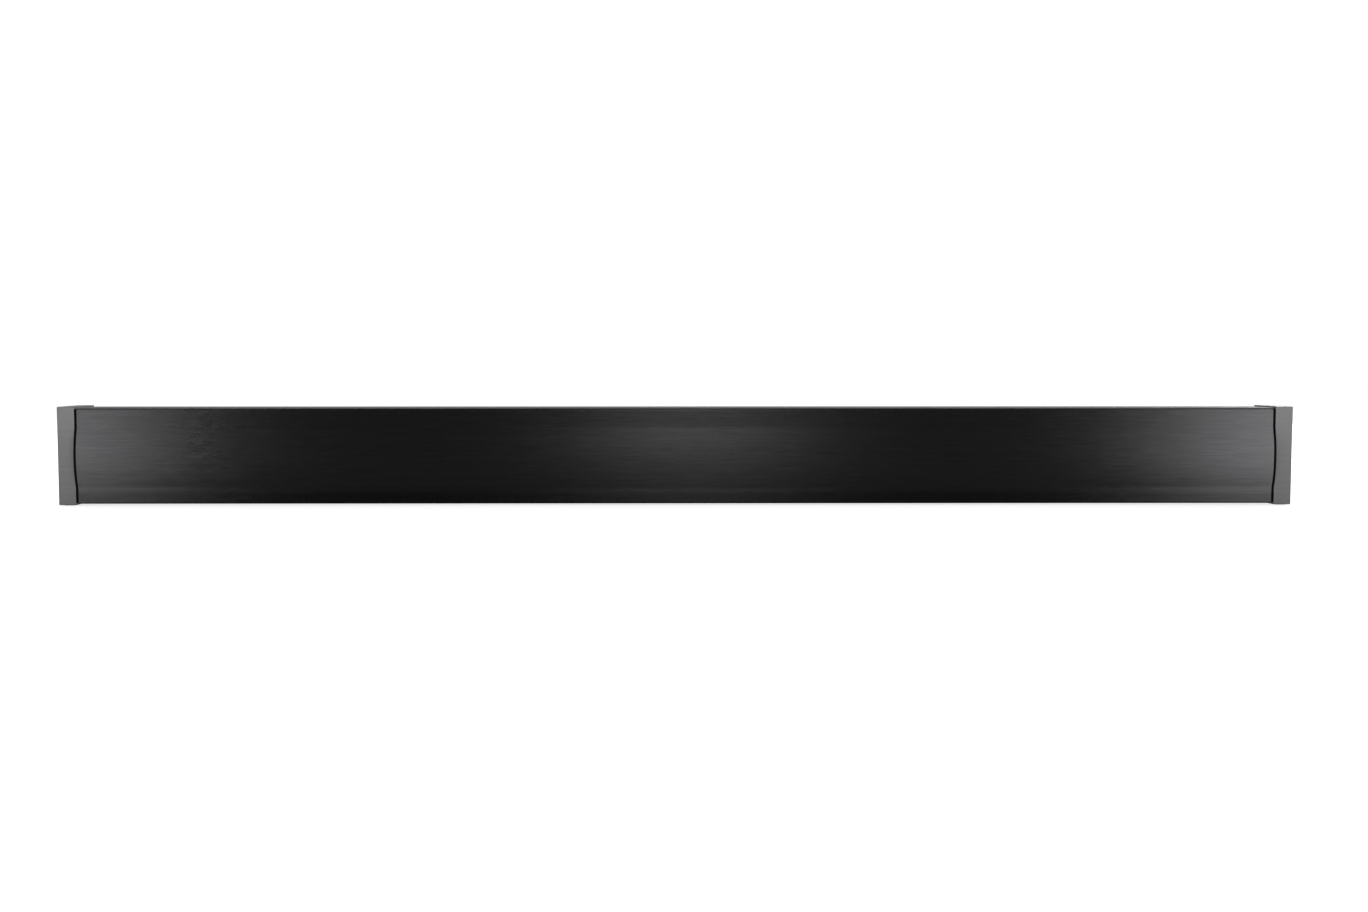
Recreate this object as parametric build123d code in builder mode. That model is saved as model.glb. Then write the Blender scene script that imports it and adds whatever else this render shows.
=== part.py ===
from build123d import *
from math import asin, atan2, cos, sin
import os

# A soundbar: a bulged sheet-metal grille across the front, flat grey end caps and a black moulded
# cabinet with four woofers, two tweeters, two bass ports and its own amplifier. The bar lies
# along X, its front faces -Y and Z is up. The origin is on the ground under its middle.
# All lengths are in millimetres.

# ---- overall size ----
BAR_LENGTH = 940
BAR_DEPTH = 74  # crest of the grille's bulge to the rear wall
CAP_HEIGHT = 75
CAP_WIDTH = 13
CAP_WALL = 2.2
BODY_STEP = 1  # the body is this much lower than the caps, above and below
FOOT_PROUD = 0.5
END_PLATE = 2
END_PLATE_STEP = 0.6  # the end plates stand this far inside the grille's face

# ---- front section ----
FRONT_LEAN = 5.5  # the foot of the front is this far behind its top
LOWER_BAND = 13  # flat band under the bulge
BULGE_CHORD = 46
BULGE_PROUD = 6
GRILLE_SHEET = 0.8
GRILLE_FLANGE_END = -20  # how far back the grille's two flanges reach, in Y
SCRIM_CLOTH = 0.3
SCRIM_MARGIN = 1  # the cloth ends this far inside the cabinet's top and bottom walls
TOP_EDGE_RADIUS = 2.6
BOTTOM_EDGE_RADIUS = 1.6
REAR_EDGE_RADIUS = 4
KINK_RADIUS = 7  # where the bulge meets the flat bands

# ---- end caps and feet ----
CAP_CORNER_RADIUS = 0.8
CAP_FACE_ROUNDING = 0.6
CAP_SCREW_PLACES = ((-10, 13), (28, 13), (-10, 64), (28, 64))  # (Y, Z)
FOOT_SIZE = (8, 22, 2)
FOOT_Y = (-11, 22)
FOOT_CORNER_RADIUS = 2
FOOT_FIT = 0.3  # how much wider the recess is than the foot
FOOT_PAD = (26, 2, 0.5)  # thicker floor over a foot: length, height, middle above the wall

# ---- shared fits ----
SCREW_CLEARANCE = 1.7  # radius of a hole that a screw's shank passes through
FIT = 0.1  # gap round a piece that drops into a recess
GLUE_GAP = 0.05  # keeps glued pieces separate solids
MERGE = 0.2  # a boss runs this far into the wall it grows from

# ---- screws: shares of the head's radius, and of its height for the last two ----
HEAD_HEIGHT = 0.62
HEAD_ROUNDING = 0.4
CROSS = (1.1, 0.26, 0.6)  # length, width and depth of the cross recess

# ---- cabinet ----
WALL = 2.5
BAFFLE_FRONT = -20
BAFFLE_THICKNESS = 3
PARTITION_X = 120  # two walls that part the amplifier's bay from the speaker chambers
WIRE_NOTCH = (16, 7)
WIRE_NOTCH_Y = 5.5
TONGUE = 6  # how far the cabinet reaches under the grille's flanges
BOSS_RADIUS = 3.5
PILOT_RADIUS = 1.3
PILOT_DEPTH = 12
BAFFLE_SCREW_X = (132, 240, 342, 440)
BAFFLE_SCREW_Z = (13.5, 63.5)
RIB_X = (60, 124, 232, 350, 432)
RIB_THICKNESS = 2
RIB_GAP = 0.2  # behind the scrim
RIB_MARGIN = 1.5  # above and below
LIGHT_WIRE_WINDOW = (12, 5, 12)  # width, height, below the middle

# ---- drivers ----
WOOFER_X = (-300, -180, 180, 300)
TWEETER_X = (-385, 385)
WOOFER_FRAME = 57
WOOFER_CORNER_RADIUS = 7
WOOFER_HOLE_PITCH = 47
BASKET_MOUTH = 24
FLANGE_THICKNESS = 2.5
TWEETER_FACE_RADIUS = 22
TWEETER_HOLE_CIRCLE = 19
WOOFER_OPENING = 25.6
TWEETER_OPENING = 14

# ---- bass ports ----
PORT_X = 240
PORT_BORE = 13
PORT_TUBE = 15
PORT_FLANGE = 20
PORT_FLANGE_THICKNESS = 1.2
PORT_LENGTH = 40
PORT_FLARE = 4

# ---- connector bay, open at the rear and underneath ----
BAY_HALF_WIDTH = 70
BAY_TOP = 50
BAY_FLOOR = 23  # Y of the wall that carries the terminal plate
WINDOW = (124, 28)
TERMINAL_PLATE = (136, 40, 1.5)
TERMINAL_Z = 28
TERMINAL_SCREWS = (128, 34)

# ---- wall hanging ----
KEYHOLE_X = 330
KEYHOLE_Z = 48
KEYHOLE_HEAD_RADIUS = 4.5
KEYHOLE_SLOT_WIDTH = 5
KEYHOLE_RISE = 8
KEYHOLE_PLATE = (38, 30, 1.2)
KEYHOLE_SCREW_PITCH = 29
KEYHOLE_POCKET = (24, 24, 9)
KEYHOLE_SINK = 1.7  # the plates lie this deep, so their screws' heads stay inside

# ---- electronics ----
BOARD_THICKNESS = 1.6
BOARD_FRONT = 8
BOARD_Z = (10, 66)
MAIN_BOARD_X = (-112, 8)
POWER_BOARD_X = (14, 112)
BOARD_SCREWS = ((-108, 14), (-108, 62), (4, 62), (18, 62), (108, 14), (108, 62))
HDMI_X = -50
OPTICAL_X = -26
AUX_X = -6
AC_X = 40

# ---- buttons on the right cap's outer side ----
BUTTONS = ("volume_up_button", "volume_down_button", "source_button", "power_button")
BUTTON_PITCH = 13
BUTTON_SIZE = (11, 7)
BUTTON_GAP = 0.3
BUTTON_TRAVEL = 0.5
BUTTON_Y = 2
BUTTON_PANEL_DEPTH = 1
KEY_BOARD = (14, 62)
KEY_BOARD_POSTS = 55
KEY_BOARD_GAP = 3  # from the end plate to the key board
KEY_POST_RADIUS = 2.4
KEY_WIRE_HOLE = (14, 60)  # where the key board's wires pass, (Y, Z)
KEY_WIRE_HOLE_RADIUS = 3
BUTTON_PANEL_MARGIN = (8, 6)
BUTTON_SINK = 0.4  # the caps of the buttons lie this far inside the outer face
BUTTON_PLAY = 0.2  # between a button's flange and the wall that stops it
BUTTON_FLANGE = 1
BUTTON_FLANGE_WIDER = 2
BUTTON_ROUNDING = 0.5
STEM_RADIUS = 1.9
STEM_PLAY = 0.1
SWITCH_SIDE = 6
SWITCH_HEIGHT = 3.4
PLUNGER_RADIUS = 1.6
PLUNGER_HEIGHT = 0.3

# ---- places that follow from the sizes above ----
CAP_LOW = FOOT_PROUD
CAP_TOP = CAP_LOW + CAP_HEIGHT
BODY_LOW = CAP_LOW + BODY_STEP
BODY_TOP = CAP_TOP - BODY_STEP
BODY_MIDDLE = (BODY_LOW + BODY_TOP) / 2
BODY_HALF = BAR_LENGTH / 2 - CAP_WIDTH - END_PLATE
CAP_INNER = BAR_LENGTH / 2 - CAP_WIDTH
REAR = BAR_DEPTH / 2
INNER_LOW = BODY_LOW + WALL
INNER_TOP = BODY_TOP - WALL
INNER_REAR = REAR - WALL
BAFFLE_BACK = BAFFLE_FRONT + BAFFLE_THICKNESS
FLANGE_FRONT = BAFFLE_FRONT - FLANGE_THICKNESS
DRIVER_Z = BODY_MIDDLE
BOARD_BACK = BOARD_FRONT + BOARD_THICKNESS
BULGE_LOW = CAP_LOW + LOWER_BAND
BULGE_TOP = BULGE_LOW + BULGE_CHORD
BULGE_MIDDLE = (BULGE_LOW + BULGE_TOP) / 2
LEAN_ANGLE = atan2(FRONT_LEAN, CAP_HEIGHT)
FRONT_AT_TOP = -REAR + BULGE_PROUD - FRONT_LEAN * (CAP_TOP - BULGE_MIDDLE) / CAP_HEIGHT
PLATE_REAR = BAY_FLOOR + TERMINAL_PLATE[2]

os.makedirs("parts", exist_ok=True)


def save(piece, name):
    """Label a finished piece and write it to its own STEP file."""
    piece.part.label = name
    export_step(piece.part, f"parts/{name}.step")


def front_y(z):
    """Y of the leaning front plane, without the bulge, at height z."""
    return FRONT_AT_TOP + FRONT_LEAN * (CAP_TOP - z) / CAP_HEIGHT


def near(outline, y, z):
    """The outline's corner nearest to a place in the side view."""
    return outline.vertices().sort_by_distance(Vector(y, z, 0))[0]


def facing_front(x, y, z):
    """A plane looking out of the front: sketch x is X, sketch y is Z, and extrudes go to -Y."""
    return Plane(origin=(x, y, z), x_dir=(1, 0, 0), z_dir=(0, -1, 0))


def facing_rear(x, y, z):
    """A plane looking out of the rear: sketch x is -X, sketch y is Z, and extrudes go to +Y."""
    return Plane(origin=(x, y, z), x_dir=(-1, 0, 0), z_dir=(0, 1, 0))


def facing_end(x, y, z, side=1):
    """A plane across the bar: sketch x is Y times side, sketch y is Z, extrudes go outward."""
    return Plane(origin=(x, y, z), x_dir=(0, side, 0), z_dir=(side, 0, 0))


def make_screw(head_radius, shank_radius, shank_length):
    """A pan-head screw with a cross recess, its head on +Z and its shank below the origin."""
    head_height = HEAD_HEIGHT * head_radius
    with BuildPart() as screw:
        with BuildSketch():
            Circle(head_radius)
        extrude(amount=head_height)
        fillet(screw.edges().group_by(Axis.Z)[-1], radius=HEAD_ROUNDING * head_height)
        with BuildSketch():
            Circle(shank_radius)
        extrude(amount=-shank_length)
        with BuildSketch(Plane.XY.offset(head_height)):
            Rectangle(CROSS[0] * head_radius, CROSS[1] * head_radius)
            Rectangle(CROSS[1] * head_radius, CROSS[0] * head_radius)
        extrude(amount=-CROSS[2] * head_height, mode=Mode.SUBTRACT)
    return screw.part


# ---- side outlines shared by the body's pieces: sketch x is Y, sketch y is Z ----
with BuildSketch() as body_outline:
    with BuildLine():
        Polyline(
            (front_y(BULGE_TOP), BULGE_TOP),
            (front_y(BODY_TOP), BODY_TOP),
            (REAR, BODY_TOP),
            (REAR, BODY_LOW),
            (front_y(BODY_LOW), BODY_LOW),
            (front_y(BULGE_LOW), BULGE_LOW),
        )
        ThreePointArc(
            (front_y(BULGE_LOW), BULGE_LOW),
            (
                front_y(BULGE_MIDDLE) - BULGE_PROUD * cos(LEAN_ANGLE),
                BULGE_MIDDLE - BULGE_PROUD * sin(LEAN_ANGLE),
            ),
            (front_y(BULGE_TOP), BULGE_TOP),
        )
    make_face()
    fillet(near(body_outline, front_y(BODY_TOP), BODY_TOP), radius=TOP_EDGE_RADIUS)
    fillet(near(body_outline, front_y(BODY_LOW), BODY_LOW), radius=BOTTOM_EDGE_RADIUS)
    fillet(near(body_outline, REAR, BODY_TOP), radius=REAR_EDGE_RADIUS)
    fillet(near(body_outline, REAR, BODY_LOW), radius=REAR_EDGE_RADIUS)
    fillet(near(body_outline, front_y(BULGE_TOP), BULGE_TOP), radius=KINK_RADIUS)
    fillet(near(body_outline, front_y(BULGE_LOW), BULGE_LOW), radius=KINK_RADIUS)


def inset_outline(depth):
    """The body's side outline, shrunk by a depth all round."""
    return offset(body_outline.sketch, amount=-depth, mode=Mode.PRIVATE)


def keep_between(y_low, y_high, z_low, z_high):
    """Keep only what a sketch of the side view has between these limits."""
    with Locations(((y_low + y_high) / 2, (z_low + z_high) / 2)):
        Rectangle(y_high - y_low, z_high - z_low, mode=Mode.INTERSECT)


# ---- front grille: one sheet that wraps over the top edge and under the bottom edge ----
with BuildPart() as front_grille:
    with BuildSketch(Plane.YZ.offset(-BODY_HALF)):
        add(body_outline.sketch)
        add(inset_outline(GRILLE_SHEET), mode=Mode.SUBTRACT)
        keep_between(-BAR_DEPTH, GRILLE_FLANGE_END, 0, CAP_TOP)
    extrude(amount=2 * BODY_HALF)
save(front_grille, "front_grille")

# ---- scrim: acoustic cloth glued behind the perforations ----
with BuildPart() as grille_scrim:
    with BuildSketch(Plane.YZ.offset(-BODY_HALF + WALL)):
        add(inset_outline(GRILLE_SHEET))
        add(inset_outline(GRILLE_SHEET + SCRIM_CLOTH), mode=Mode.SUBTRACT)
        keep_between(
            -BAR_DEPTH, GRILLE_FLANGE_END, INNER_LOW + SCRIM_MARGIN, INNER_TOP - SCRIM_MARGIN
        )
    extrude(amount=2 * (BODY_HALF - WALL))
save(grille_scrim, "grille_scrim")

# ---- end plates: black plates that close the body's ends ----
for side, name in ((-1, "end_plate_left"), (1, "end_plate_right")):
    with BuildPart() as end_plate:
        with BuildSketch(Plane.YZ.offset(min(side * BODY_HALF, side * CAP_INNER))):
            add(inset_outline(END_PLATE_STEP))
            with Locations(*CAP_SCREW_PLACES):
                Circle(SCREW_CLEARANCE, mode=Mode.SUBTRACT)
            with Locations(KEY_WIRE_HOLE):
                Circle(KEY_WIRE_HOLE_RADIUS, mode=Mode.SUBTRACT)
        extrude(amount=END_PLATE)
    save(end_plate, name)

# ---- end caps: flat-faced mouldings, hollow towards the body ----
with BuildSketch() as cap_outline:
    with BuildLine():
        Polyline(
            (front_y(CAP_TOP), CAP_TOP),
            (REAR, CAP_TOP),
            (REAR, CAP_LOW),
            (front_y(CAP_LOW), CAP_LOW),
            close=True,
        )
    make_face()
    fillet(cap_outline.vertices(), radius=CAP_CORNER_RADIUS)

FOOT_RECESS = FOOT_SIZE[2] - FOOT_PROUD
FOOT_X = CAP_INNER + CAP_WIDTH / 2
BUTTON_Z = [BODY_MIDDLE + BUTTON_PITCH * (1.5 - i) for i in range(len(BUTTONS))]
KEY_BOARD_X = CAP_INNER + KEY_BOARD_GAP
KEY_BOARD_SCREW_Z = (BODY_MIDDLE - KEY_BOARD_POSTS / 2, BODY_MIDDLE + KEY_BOARD_POSTS / 2)

for side, name in ((-1, "end_cap_left"), (1, "end_cap_right")):
    with BuildPart() as end_cap:
        with BuildSketch(Plane.YZ.offset(side * CAP_INNER)):
            add(cap_outline.sketch)
        extrude(amount=side * CAP_WIDTH)
        outer_face = end_cap.faces().sort_by(Axis.X)[-1 if side > 0 else 0]
        fillet(outer_face.edges(), radius=CAP_FACE_ROUNDING)
        with BuildSketch(Plane.YZ.offset(side * CAP_INNER)):
            offset(cap_outline.sketch, amount=-CAP_WALL)
        extrude(amount=side * (CAP_WIDTH - CAP_WALL), mode=Mode.SUBTRACT)
        # four screw bosses, and a thicker floor over the feet
        with BuildSketch(Plane.YZ.offset(side * CAP_INNER)):
            with Locations(*CAP_SCREW_PLACES):
                Circle(BOSS_RADIUS)
                Circle(PILOT_RADIUS, mode=Mode.SUBTRACT)
            with Locations(*[(y, CAP_LOW + CAP_WALL + FOOT_PAD[2]) for y in FOOT_Y]):
                Rectangle(FOOT_PAD[0], FOOT_PAD[1])
        extrude(amount=side * (CAP_WIDTH - CAP_WALL + MERGE))
        with BuildSketch(Plane.YZ.offset(side * CAP_INNER)):
            with Locations(*CAP_SCREW_PLACES):
                Circle(PILOT_RADIUS)
        extrude(amount=side * (CAP_WIDTH - CAP_WALL - 1), mode=Mode.SUBTRACT)
        with BuildSketch(Plane.XY.offset(CAP_LOW)):
            with Locations(*[(side * FOOT_X, y) for y in FOOT_Y]):
                RectangleRounded(
                    FOOT_SIZE[0] + FOOT_FIT, FOOT_SIZE[1] + FOOT_FIT, FOOT_CORNER_RADIUS + FIT
                )
        extrude(amount=FOOT_RECESS, mode=Mode.SUBTRACT)
        if side > 0:
            # shallow panel with four button holes, and two posts for the key board
            with BuildSketch(facing_end(CAP_INNER + CAP_WIDTH, BUTTON_Y, BODY_MIDDLE)):
                SlotOverall(
                    len(BUTTONS) * BUTTON_PITCH + BUTTON_PANEL_MARGIN[0],
                    BUTTON_SIZE[0] + BUTTON_PANEL_MARGIN[1],
                    rotation=90,
                )
            extrude(amount=-BUTTON_PANEL_DEPTH, mode=Mode.SUBTRACT)
            for z in BUTTON_Z:
                with BuildSketch(facing_end(CAP_INNER + CAP_WIDTH, BUTTON_Y, z)):
                    SlotOverall(BUTTON_SIZE[0] + 2 * BUTTON_GAP, BUTTON_SIZE[1] + 2 * BUTTON_GAP)
                extrude(amount=-CAP_WALL - 1, mode=Mode.SUBTRACT)
            with BuildSketch(Plane.YZ.offset(KEY_BOARD_X + BOARD_THICKNESS)):
                with Locations(*[(BUTTON_Y, z) for z in KEY_BOARD_SCREW_Z]):
                    Circle(KEY_POST_RADIUS)
                    Circle(PILOT_RADIUS, mode=Mode.SUBTRACT)
            extrude(amount=CAP_INNER + CAP_WIDTH - CAP_WALL - KEY_BOARD_X - BOARD_THICKNESS)
    save(end_cap, name)

# ---- rubber feet, set into the caps' undersides ----
with BuildPart() as rubber_feet:
    for side in (-1, 1):
        with BuildSketch(Plane.XY):
            with Locations(*[(side * FOOT_X, y) for y in FOOT_Y]):
                RectangleRounded(FOOT_SIZE[0], FOOT_SIZE[1], FOOT_CORNER_RADIUS)
    extrude(amount=FOOT_SIZE[2])
save(rubber_feet, "rubber_feet")

# ---- rear cabinet: top, rear and bottom walls, end walls, partitions, bay, bosses ----
PARTITION_DEPTH = INNER_REAR - BAFFLE_BACK
with BuildPart() as rear_cabinet:
    with BuildSketch(Plane.YZ.offset(-BODY_HALF)):
        add(body_outline.sketch)
        keep_between(GRILLE_FLANGE_END, REAR, BODY_LOW, BODY_TOP)
        # tongues that carry the grille's flanges
        with BuildSketch(mode=Mode.PRIVATE) as tongues:
            add(inset_outline(GRILLE_SHEET))
            keep_between(GRILLE_FLANGE_END - TONGUE, GRILLE_FLANGE_END, BODY_LOW, BODY_TOP)
        add(tongues.sketch)
        with Locations(((INNER_REAR - BAR_DEPTH) / 2, BODY_MIDDLE)):
            Rectangle(BAR_DEPTH + INNER_REAR, INNER_TOP - INNER_LOW, mode=Mode.SUBTRACT)
    extrude(amount=2 * BODY_HALF)
    # end walls and partitions
    for x in (-BODY_HALF, -PARTITION_X - WALL / 2, PARTITION_X - WALL / 2, BODY_HALF - WALL):
        with BuildSketch(Plane.YZ.offset(x)):
            with Locations(((BAFFLE_BACK + INNER_REAR) / 2, BODY_MIDDLE)):
                Rectangle(PARTITION_DEPTH, INNER_TOP - INNER_LOW)
        extrude(amount=WALL)
    # notches at the top of both partitions for the speaker wires
    with BuildSketch(Plane.XY.offset(INNER_TOP)):
        with Locations((-PARTITION_X, WIRE_NOTCH_Y), (PARTITION_X, WIRE_NOTCH_Y)):
            Rectangle(2 * WALL, WIRE_NOTCH[0])
    extrude(amount=-WIRE_NOTCH[1], mode=Mode.SUBTRACT)
    # walls round the connector bay
    with BuildSketch(facing_front(0, INNER_REAR, (INNER_LOW + BAY_TOP + WALL) / 2)):
        Rectangle(2 * (BAY_HALF_WIDTH + WALL), BAY_TOP + WALL - INNER_LOW)
    extrude(amount=INNER_REAR - BAY_FLOOR + WALL)
    # pockets behind the keyhole plates
    for side in (-1, 1):
        with BuildSketch(facing_front(side * KEYHOLE_X, INNER_REAR, KEYHOLE_Z)):
            Rectangle(KEYHOLE_PLATE[0] + 2 * WALL, KEYHOLE_PLATE[1] + 2 * WALL)
        extrude(amount=KEYHOLE_POCKET[2])
    # long bosses that the baffle is screwed to
    with BuildSketch(facing_front(0, INNER_REAR, 0)):
        for side in (-1, 1):
            with Locations(*[(side * x, z) for x in BAFFLE_SCREW_X for z in BAFFLE_SCREW_Z]):
                Circle(BOSS_RADIUS)
    extrude(amount=PARTITION_DEPTH)
    # posts for the two circuit boards
    with BuildSketch(facing_front(0, INNER_REAR, 0)):
        with Locations(*BOARD_SCREWS):
            Circle(BOSS_RADIUS)
    extrude(amount=INNER_REAR - BOARD_BACK)
    # the bay's hollow and the window for the connectors
    with BuildSketch(facing_rear(0, BAY_FLOOR, (BAY_TOP - 1) / 2)):
        Rectangle(2 * BAY_HALF_WIDTH, BAY_TOP + 1)
    extrude(amount=REAR, mode=Mode.SUBTRACT)
    with BuildSketch(facing_front(0, BAY_FLOOR, TERMINAL_Z)):
        Rectangle(*WINDOW)
    extrude(amount=WALL, mode=Mode.SUBTRACT)
    # recesses for the keyhole plates, and hollows for the wall screws' heads
    for side in (-1, 1):
        with BuildSketch(facing_front(side * KEYHOLE_X, REAR, KEYHOLE_Z)):
            Rectangle(KEYHOLE_PLATE[0] + 2 * FIT, KEYHOLE_PLATE[1] + 2 * FIT)
        extrude(amount=KEYHOLE_SINK + KEYHOLE_PLATE[2], mode=Mode.SUBTRACT)
        with BuildSketch(facing_front(side * KEYHOLE_X, REAR, KEYHOLE_Z)):
            Rectangle(KEYHOLE_POCKET[0], KEYHOLE_POCKET[1])
        extrude(amount=KEYHOLE_POCKET[2], mode=Mode.SUBTRACT)
        # seats and holes for the bass ports
        with BuildSketch(facing_front(side * PORT_X, REAR, BODY_MIDDLE)):
            Circle(PORT_FLANGE + FIT)
        extrude(amount=PORT_FLANGE_THICKNESS, mode=Mode.SUBTRACT)
        with BuildSketch(facing_front(side * PORT_X, REAR, BODY_MIDDLE)):
            Circle(PORT_TUBE + FIT)
        extrude(amount=WALL, mode=Mode.SUBTRACT)
        # pilot holes for the keyhole plates' screws
        with BuildSketch(facing_front(side * KEYHOLE_X, REAR, KEYHOLE_Z)):
            with GridLocations(KEYHOLE_SCREW_PITCH, 1, 2, 1):
                Circle(PILOT_RADIUS)
        extrude(amount=KEYHOLE_POCKET[2], mode=Mode.SUBTRACT)
        # screw holes through the end walls
        with BuildSketch(Plane.YZ.offset(side * BODY_HALF)):
            with Locations(*CAP_SCREW_PLACES):
                Circle(SCREW_CLEARANCE)
            with Locations(KEY_WIRE_HOLE):
                Circle(KEY_WIRE_HOLE_RADIUS)
        extrude(amount=-side * WALL, mode=Mode.SUBTRACT)
    # pilot holes for the baffle, the boards and the terminal plate
    with BuildSketch(facing_front(0, BAFFLE_BACK, 0)):
        for side in (-1, 1):
            with Locations(*[(side * x, z) for x in BAFFLE_SCREW_X for z in BAFFLE_SCREW_Z]):
                Circle(PILOT_RADIUS)
    extrude(amount=-PILOT_DEPTH, mode=Mode.SUBTRACT)
    with BuildSketch(facing_front(0, BOARD_BACK, 0)):
        with Locations(*BOARD_SCREWS):
            Circle(PILOT_RADIUS)
    extrude(amount=-PILOT_DEPTH, mode=Mode.SUBTRACT)
    with BuildSketch(facing_front(0, BAY_FLOOR, TERMINAL_Z)):
        with GridLocations(*TERMINAL_SCREWS, 2, 2):
            Circle(PILOT_RADIUS)
    extrude(amount=WALL, mode=Mode.SUBTRACT)
save(rear_cabinet, "rear_cabinet")

# ---- front baffle with ribs that back the grille ----
with BuildPart() as front_baffle:
    with BuildSketch(facing_front(0, BAFFLE_BACK, BODY_MIDDLE)):
        Rectangle(2 * (BODY_HALF - FIT), INNER_TOP - INNER_LOW - 2 * FIT)
    extrude(amount=BAFFLE_THICKNESS)
    for side in (-1, 1):
        for x in RIB_X:
            with BuildSketch(Plane.YZ.offset(side * x - RIB_THICKNESS / 2)):
                add(inset_outline(GRILLE_SHEET + SCRIM_CLOTH + RIB_GAP))
                keep_between(
                    -BAR_DEPTH, BAFFLE_FRONT, INNER_LOW + RIB_MARGIN, INNER_TOP - RIB_MARGIN
                )
            extrude(amount=RIB_THICKNESS)
    with BuildSketch(facing_front(0, BAFFLE_BACK, 0)):
        with Locations(*[(x, DRIVER_Z) for x in WOOFER_X]):
            Circle(WOOFER_OPENING)
        with Locations(*[(x, DRIVER_Z) for x in TWEETER_X]):
            Circle(TWEETER_OPENING)
        for side in (-1, 1):
            with Locations(*[(side * x, z) for x in BAFFLE_SCREW_X for z in BAFFLE_SCREW_Z]):
                Circle(SCREW_CLEARANCE)
        # pilot holes for the drivers' screws
        for x in WOOFER_X:
            with Locations((x, DRIVER_Z)):
                with GridLocations(WOOFER_HOLE_PITCH, WOOFER_HOLE_PITCH, 2, 2):
                    Circle(PILOT_RADIUS)
        for x in TWEETER_X:
            with Locations((x, DRIVER_Z)):
                with PolarLocations(TWEETER_HOLE_CIRCLE, 3, start_angle=90):
                    Circle(PILOT_RADIUS)
        # window for the indicator board's wires
        with Locations((0, BODY_MIDDLE - LIGHT_WIRE_WINDOW[2])):
            Rectangle(LIGHT_WIRE_WINDOW[0], LIGHT_WIRE_WINDOW[1])
    extrude(amount=BAFFLE_THICKNESS, mode=Mode.SUBTRACT)
save(front_baffle, "front_baffle")


# ---- drivers: each is turned about an axis along Y through its own centre ----
def driver_plane(x):
    """Sketch x is the distance from the driver's axis, sketch y is Y."""
    return Plane(origin=(x, 0, DRIVER_Z), x_dir=(1, 0, 0), z_dir=(0, 0, 1))


def driver_axis(x):
    """The axis of the driver at x."""
    return Axis((x, 0, DRIVER_Z), (0, 1, 0))


def turn(x, *outlines):
    """Turn closed outlines of (radius, Y) corners about the driver's axis, inside a BuildPart."""
    for outline in outlines:
        with BuildSketch(driver_plane(x)) as section:
            with BuildLine():
                Polyline(*outline, close=True)
            make_face()
        revolve(section.sketch, axis=driver_axis(x))


def ring(inner, outer, front, back):
    """Corners of a plain ring's section."""
    return ((inner, front), (outer, front), (outer, back), (inner, back))


def turn_shell(x, rim_radius, rim_y, rise, thickness):
    """Turn a shell between two spheres about the driver's axis, its crown towards the front."""
    outer = (rim_radius**2 + rise**2) / (2 * rise)
    centre = rim_y - rise + outer
    opening = asin(rim_radius / outer)

    def place(radius, angle):
        return (radius * sin(angle), centre - radius * cos(angle))

    inner = outer - thickness
    with BuildSketch(driver_plane(x)) as section:
        with BuildLine():
            ThreePointArc(place(outer, 0), place(outer, opening / 2), place(outer, opening))
            Line(place(outer, opening), place(inner, opening))
            ThreePointArc(place(inner, opening), place(inner, opening / 2), place(inner, 0))
            Line(place(inner, 0), place(outer, 0))
        make_face()
    revolve(section.sketch, axis=driver_axis(x))


PLATE_FRONT = -3.5  # the motor's front face, against the basket
MAGNET_FRONT = -0.5
MAGNET_BACK = 8.5
YOKE_BACK = 11.5
POLE_RADIUS = 9.4
COIL_BORE = 9.75
COIL_OUTER = 10.6
FORMER_OUTER = 10.2
PLATE_BORE = 10.9
CONE_RIM = 21
ROLL_OUTER = 24.6
SPIDER_Y = -7
SPIDER_OUTER = 19
SPIDER_WAVES = 5
SPIDER_WAVE_HEIGHT = 0.7
CLOTH = 0.4

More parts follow.
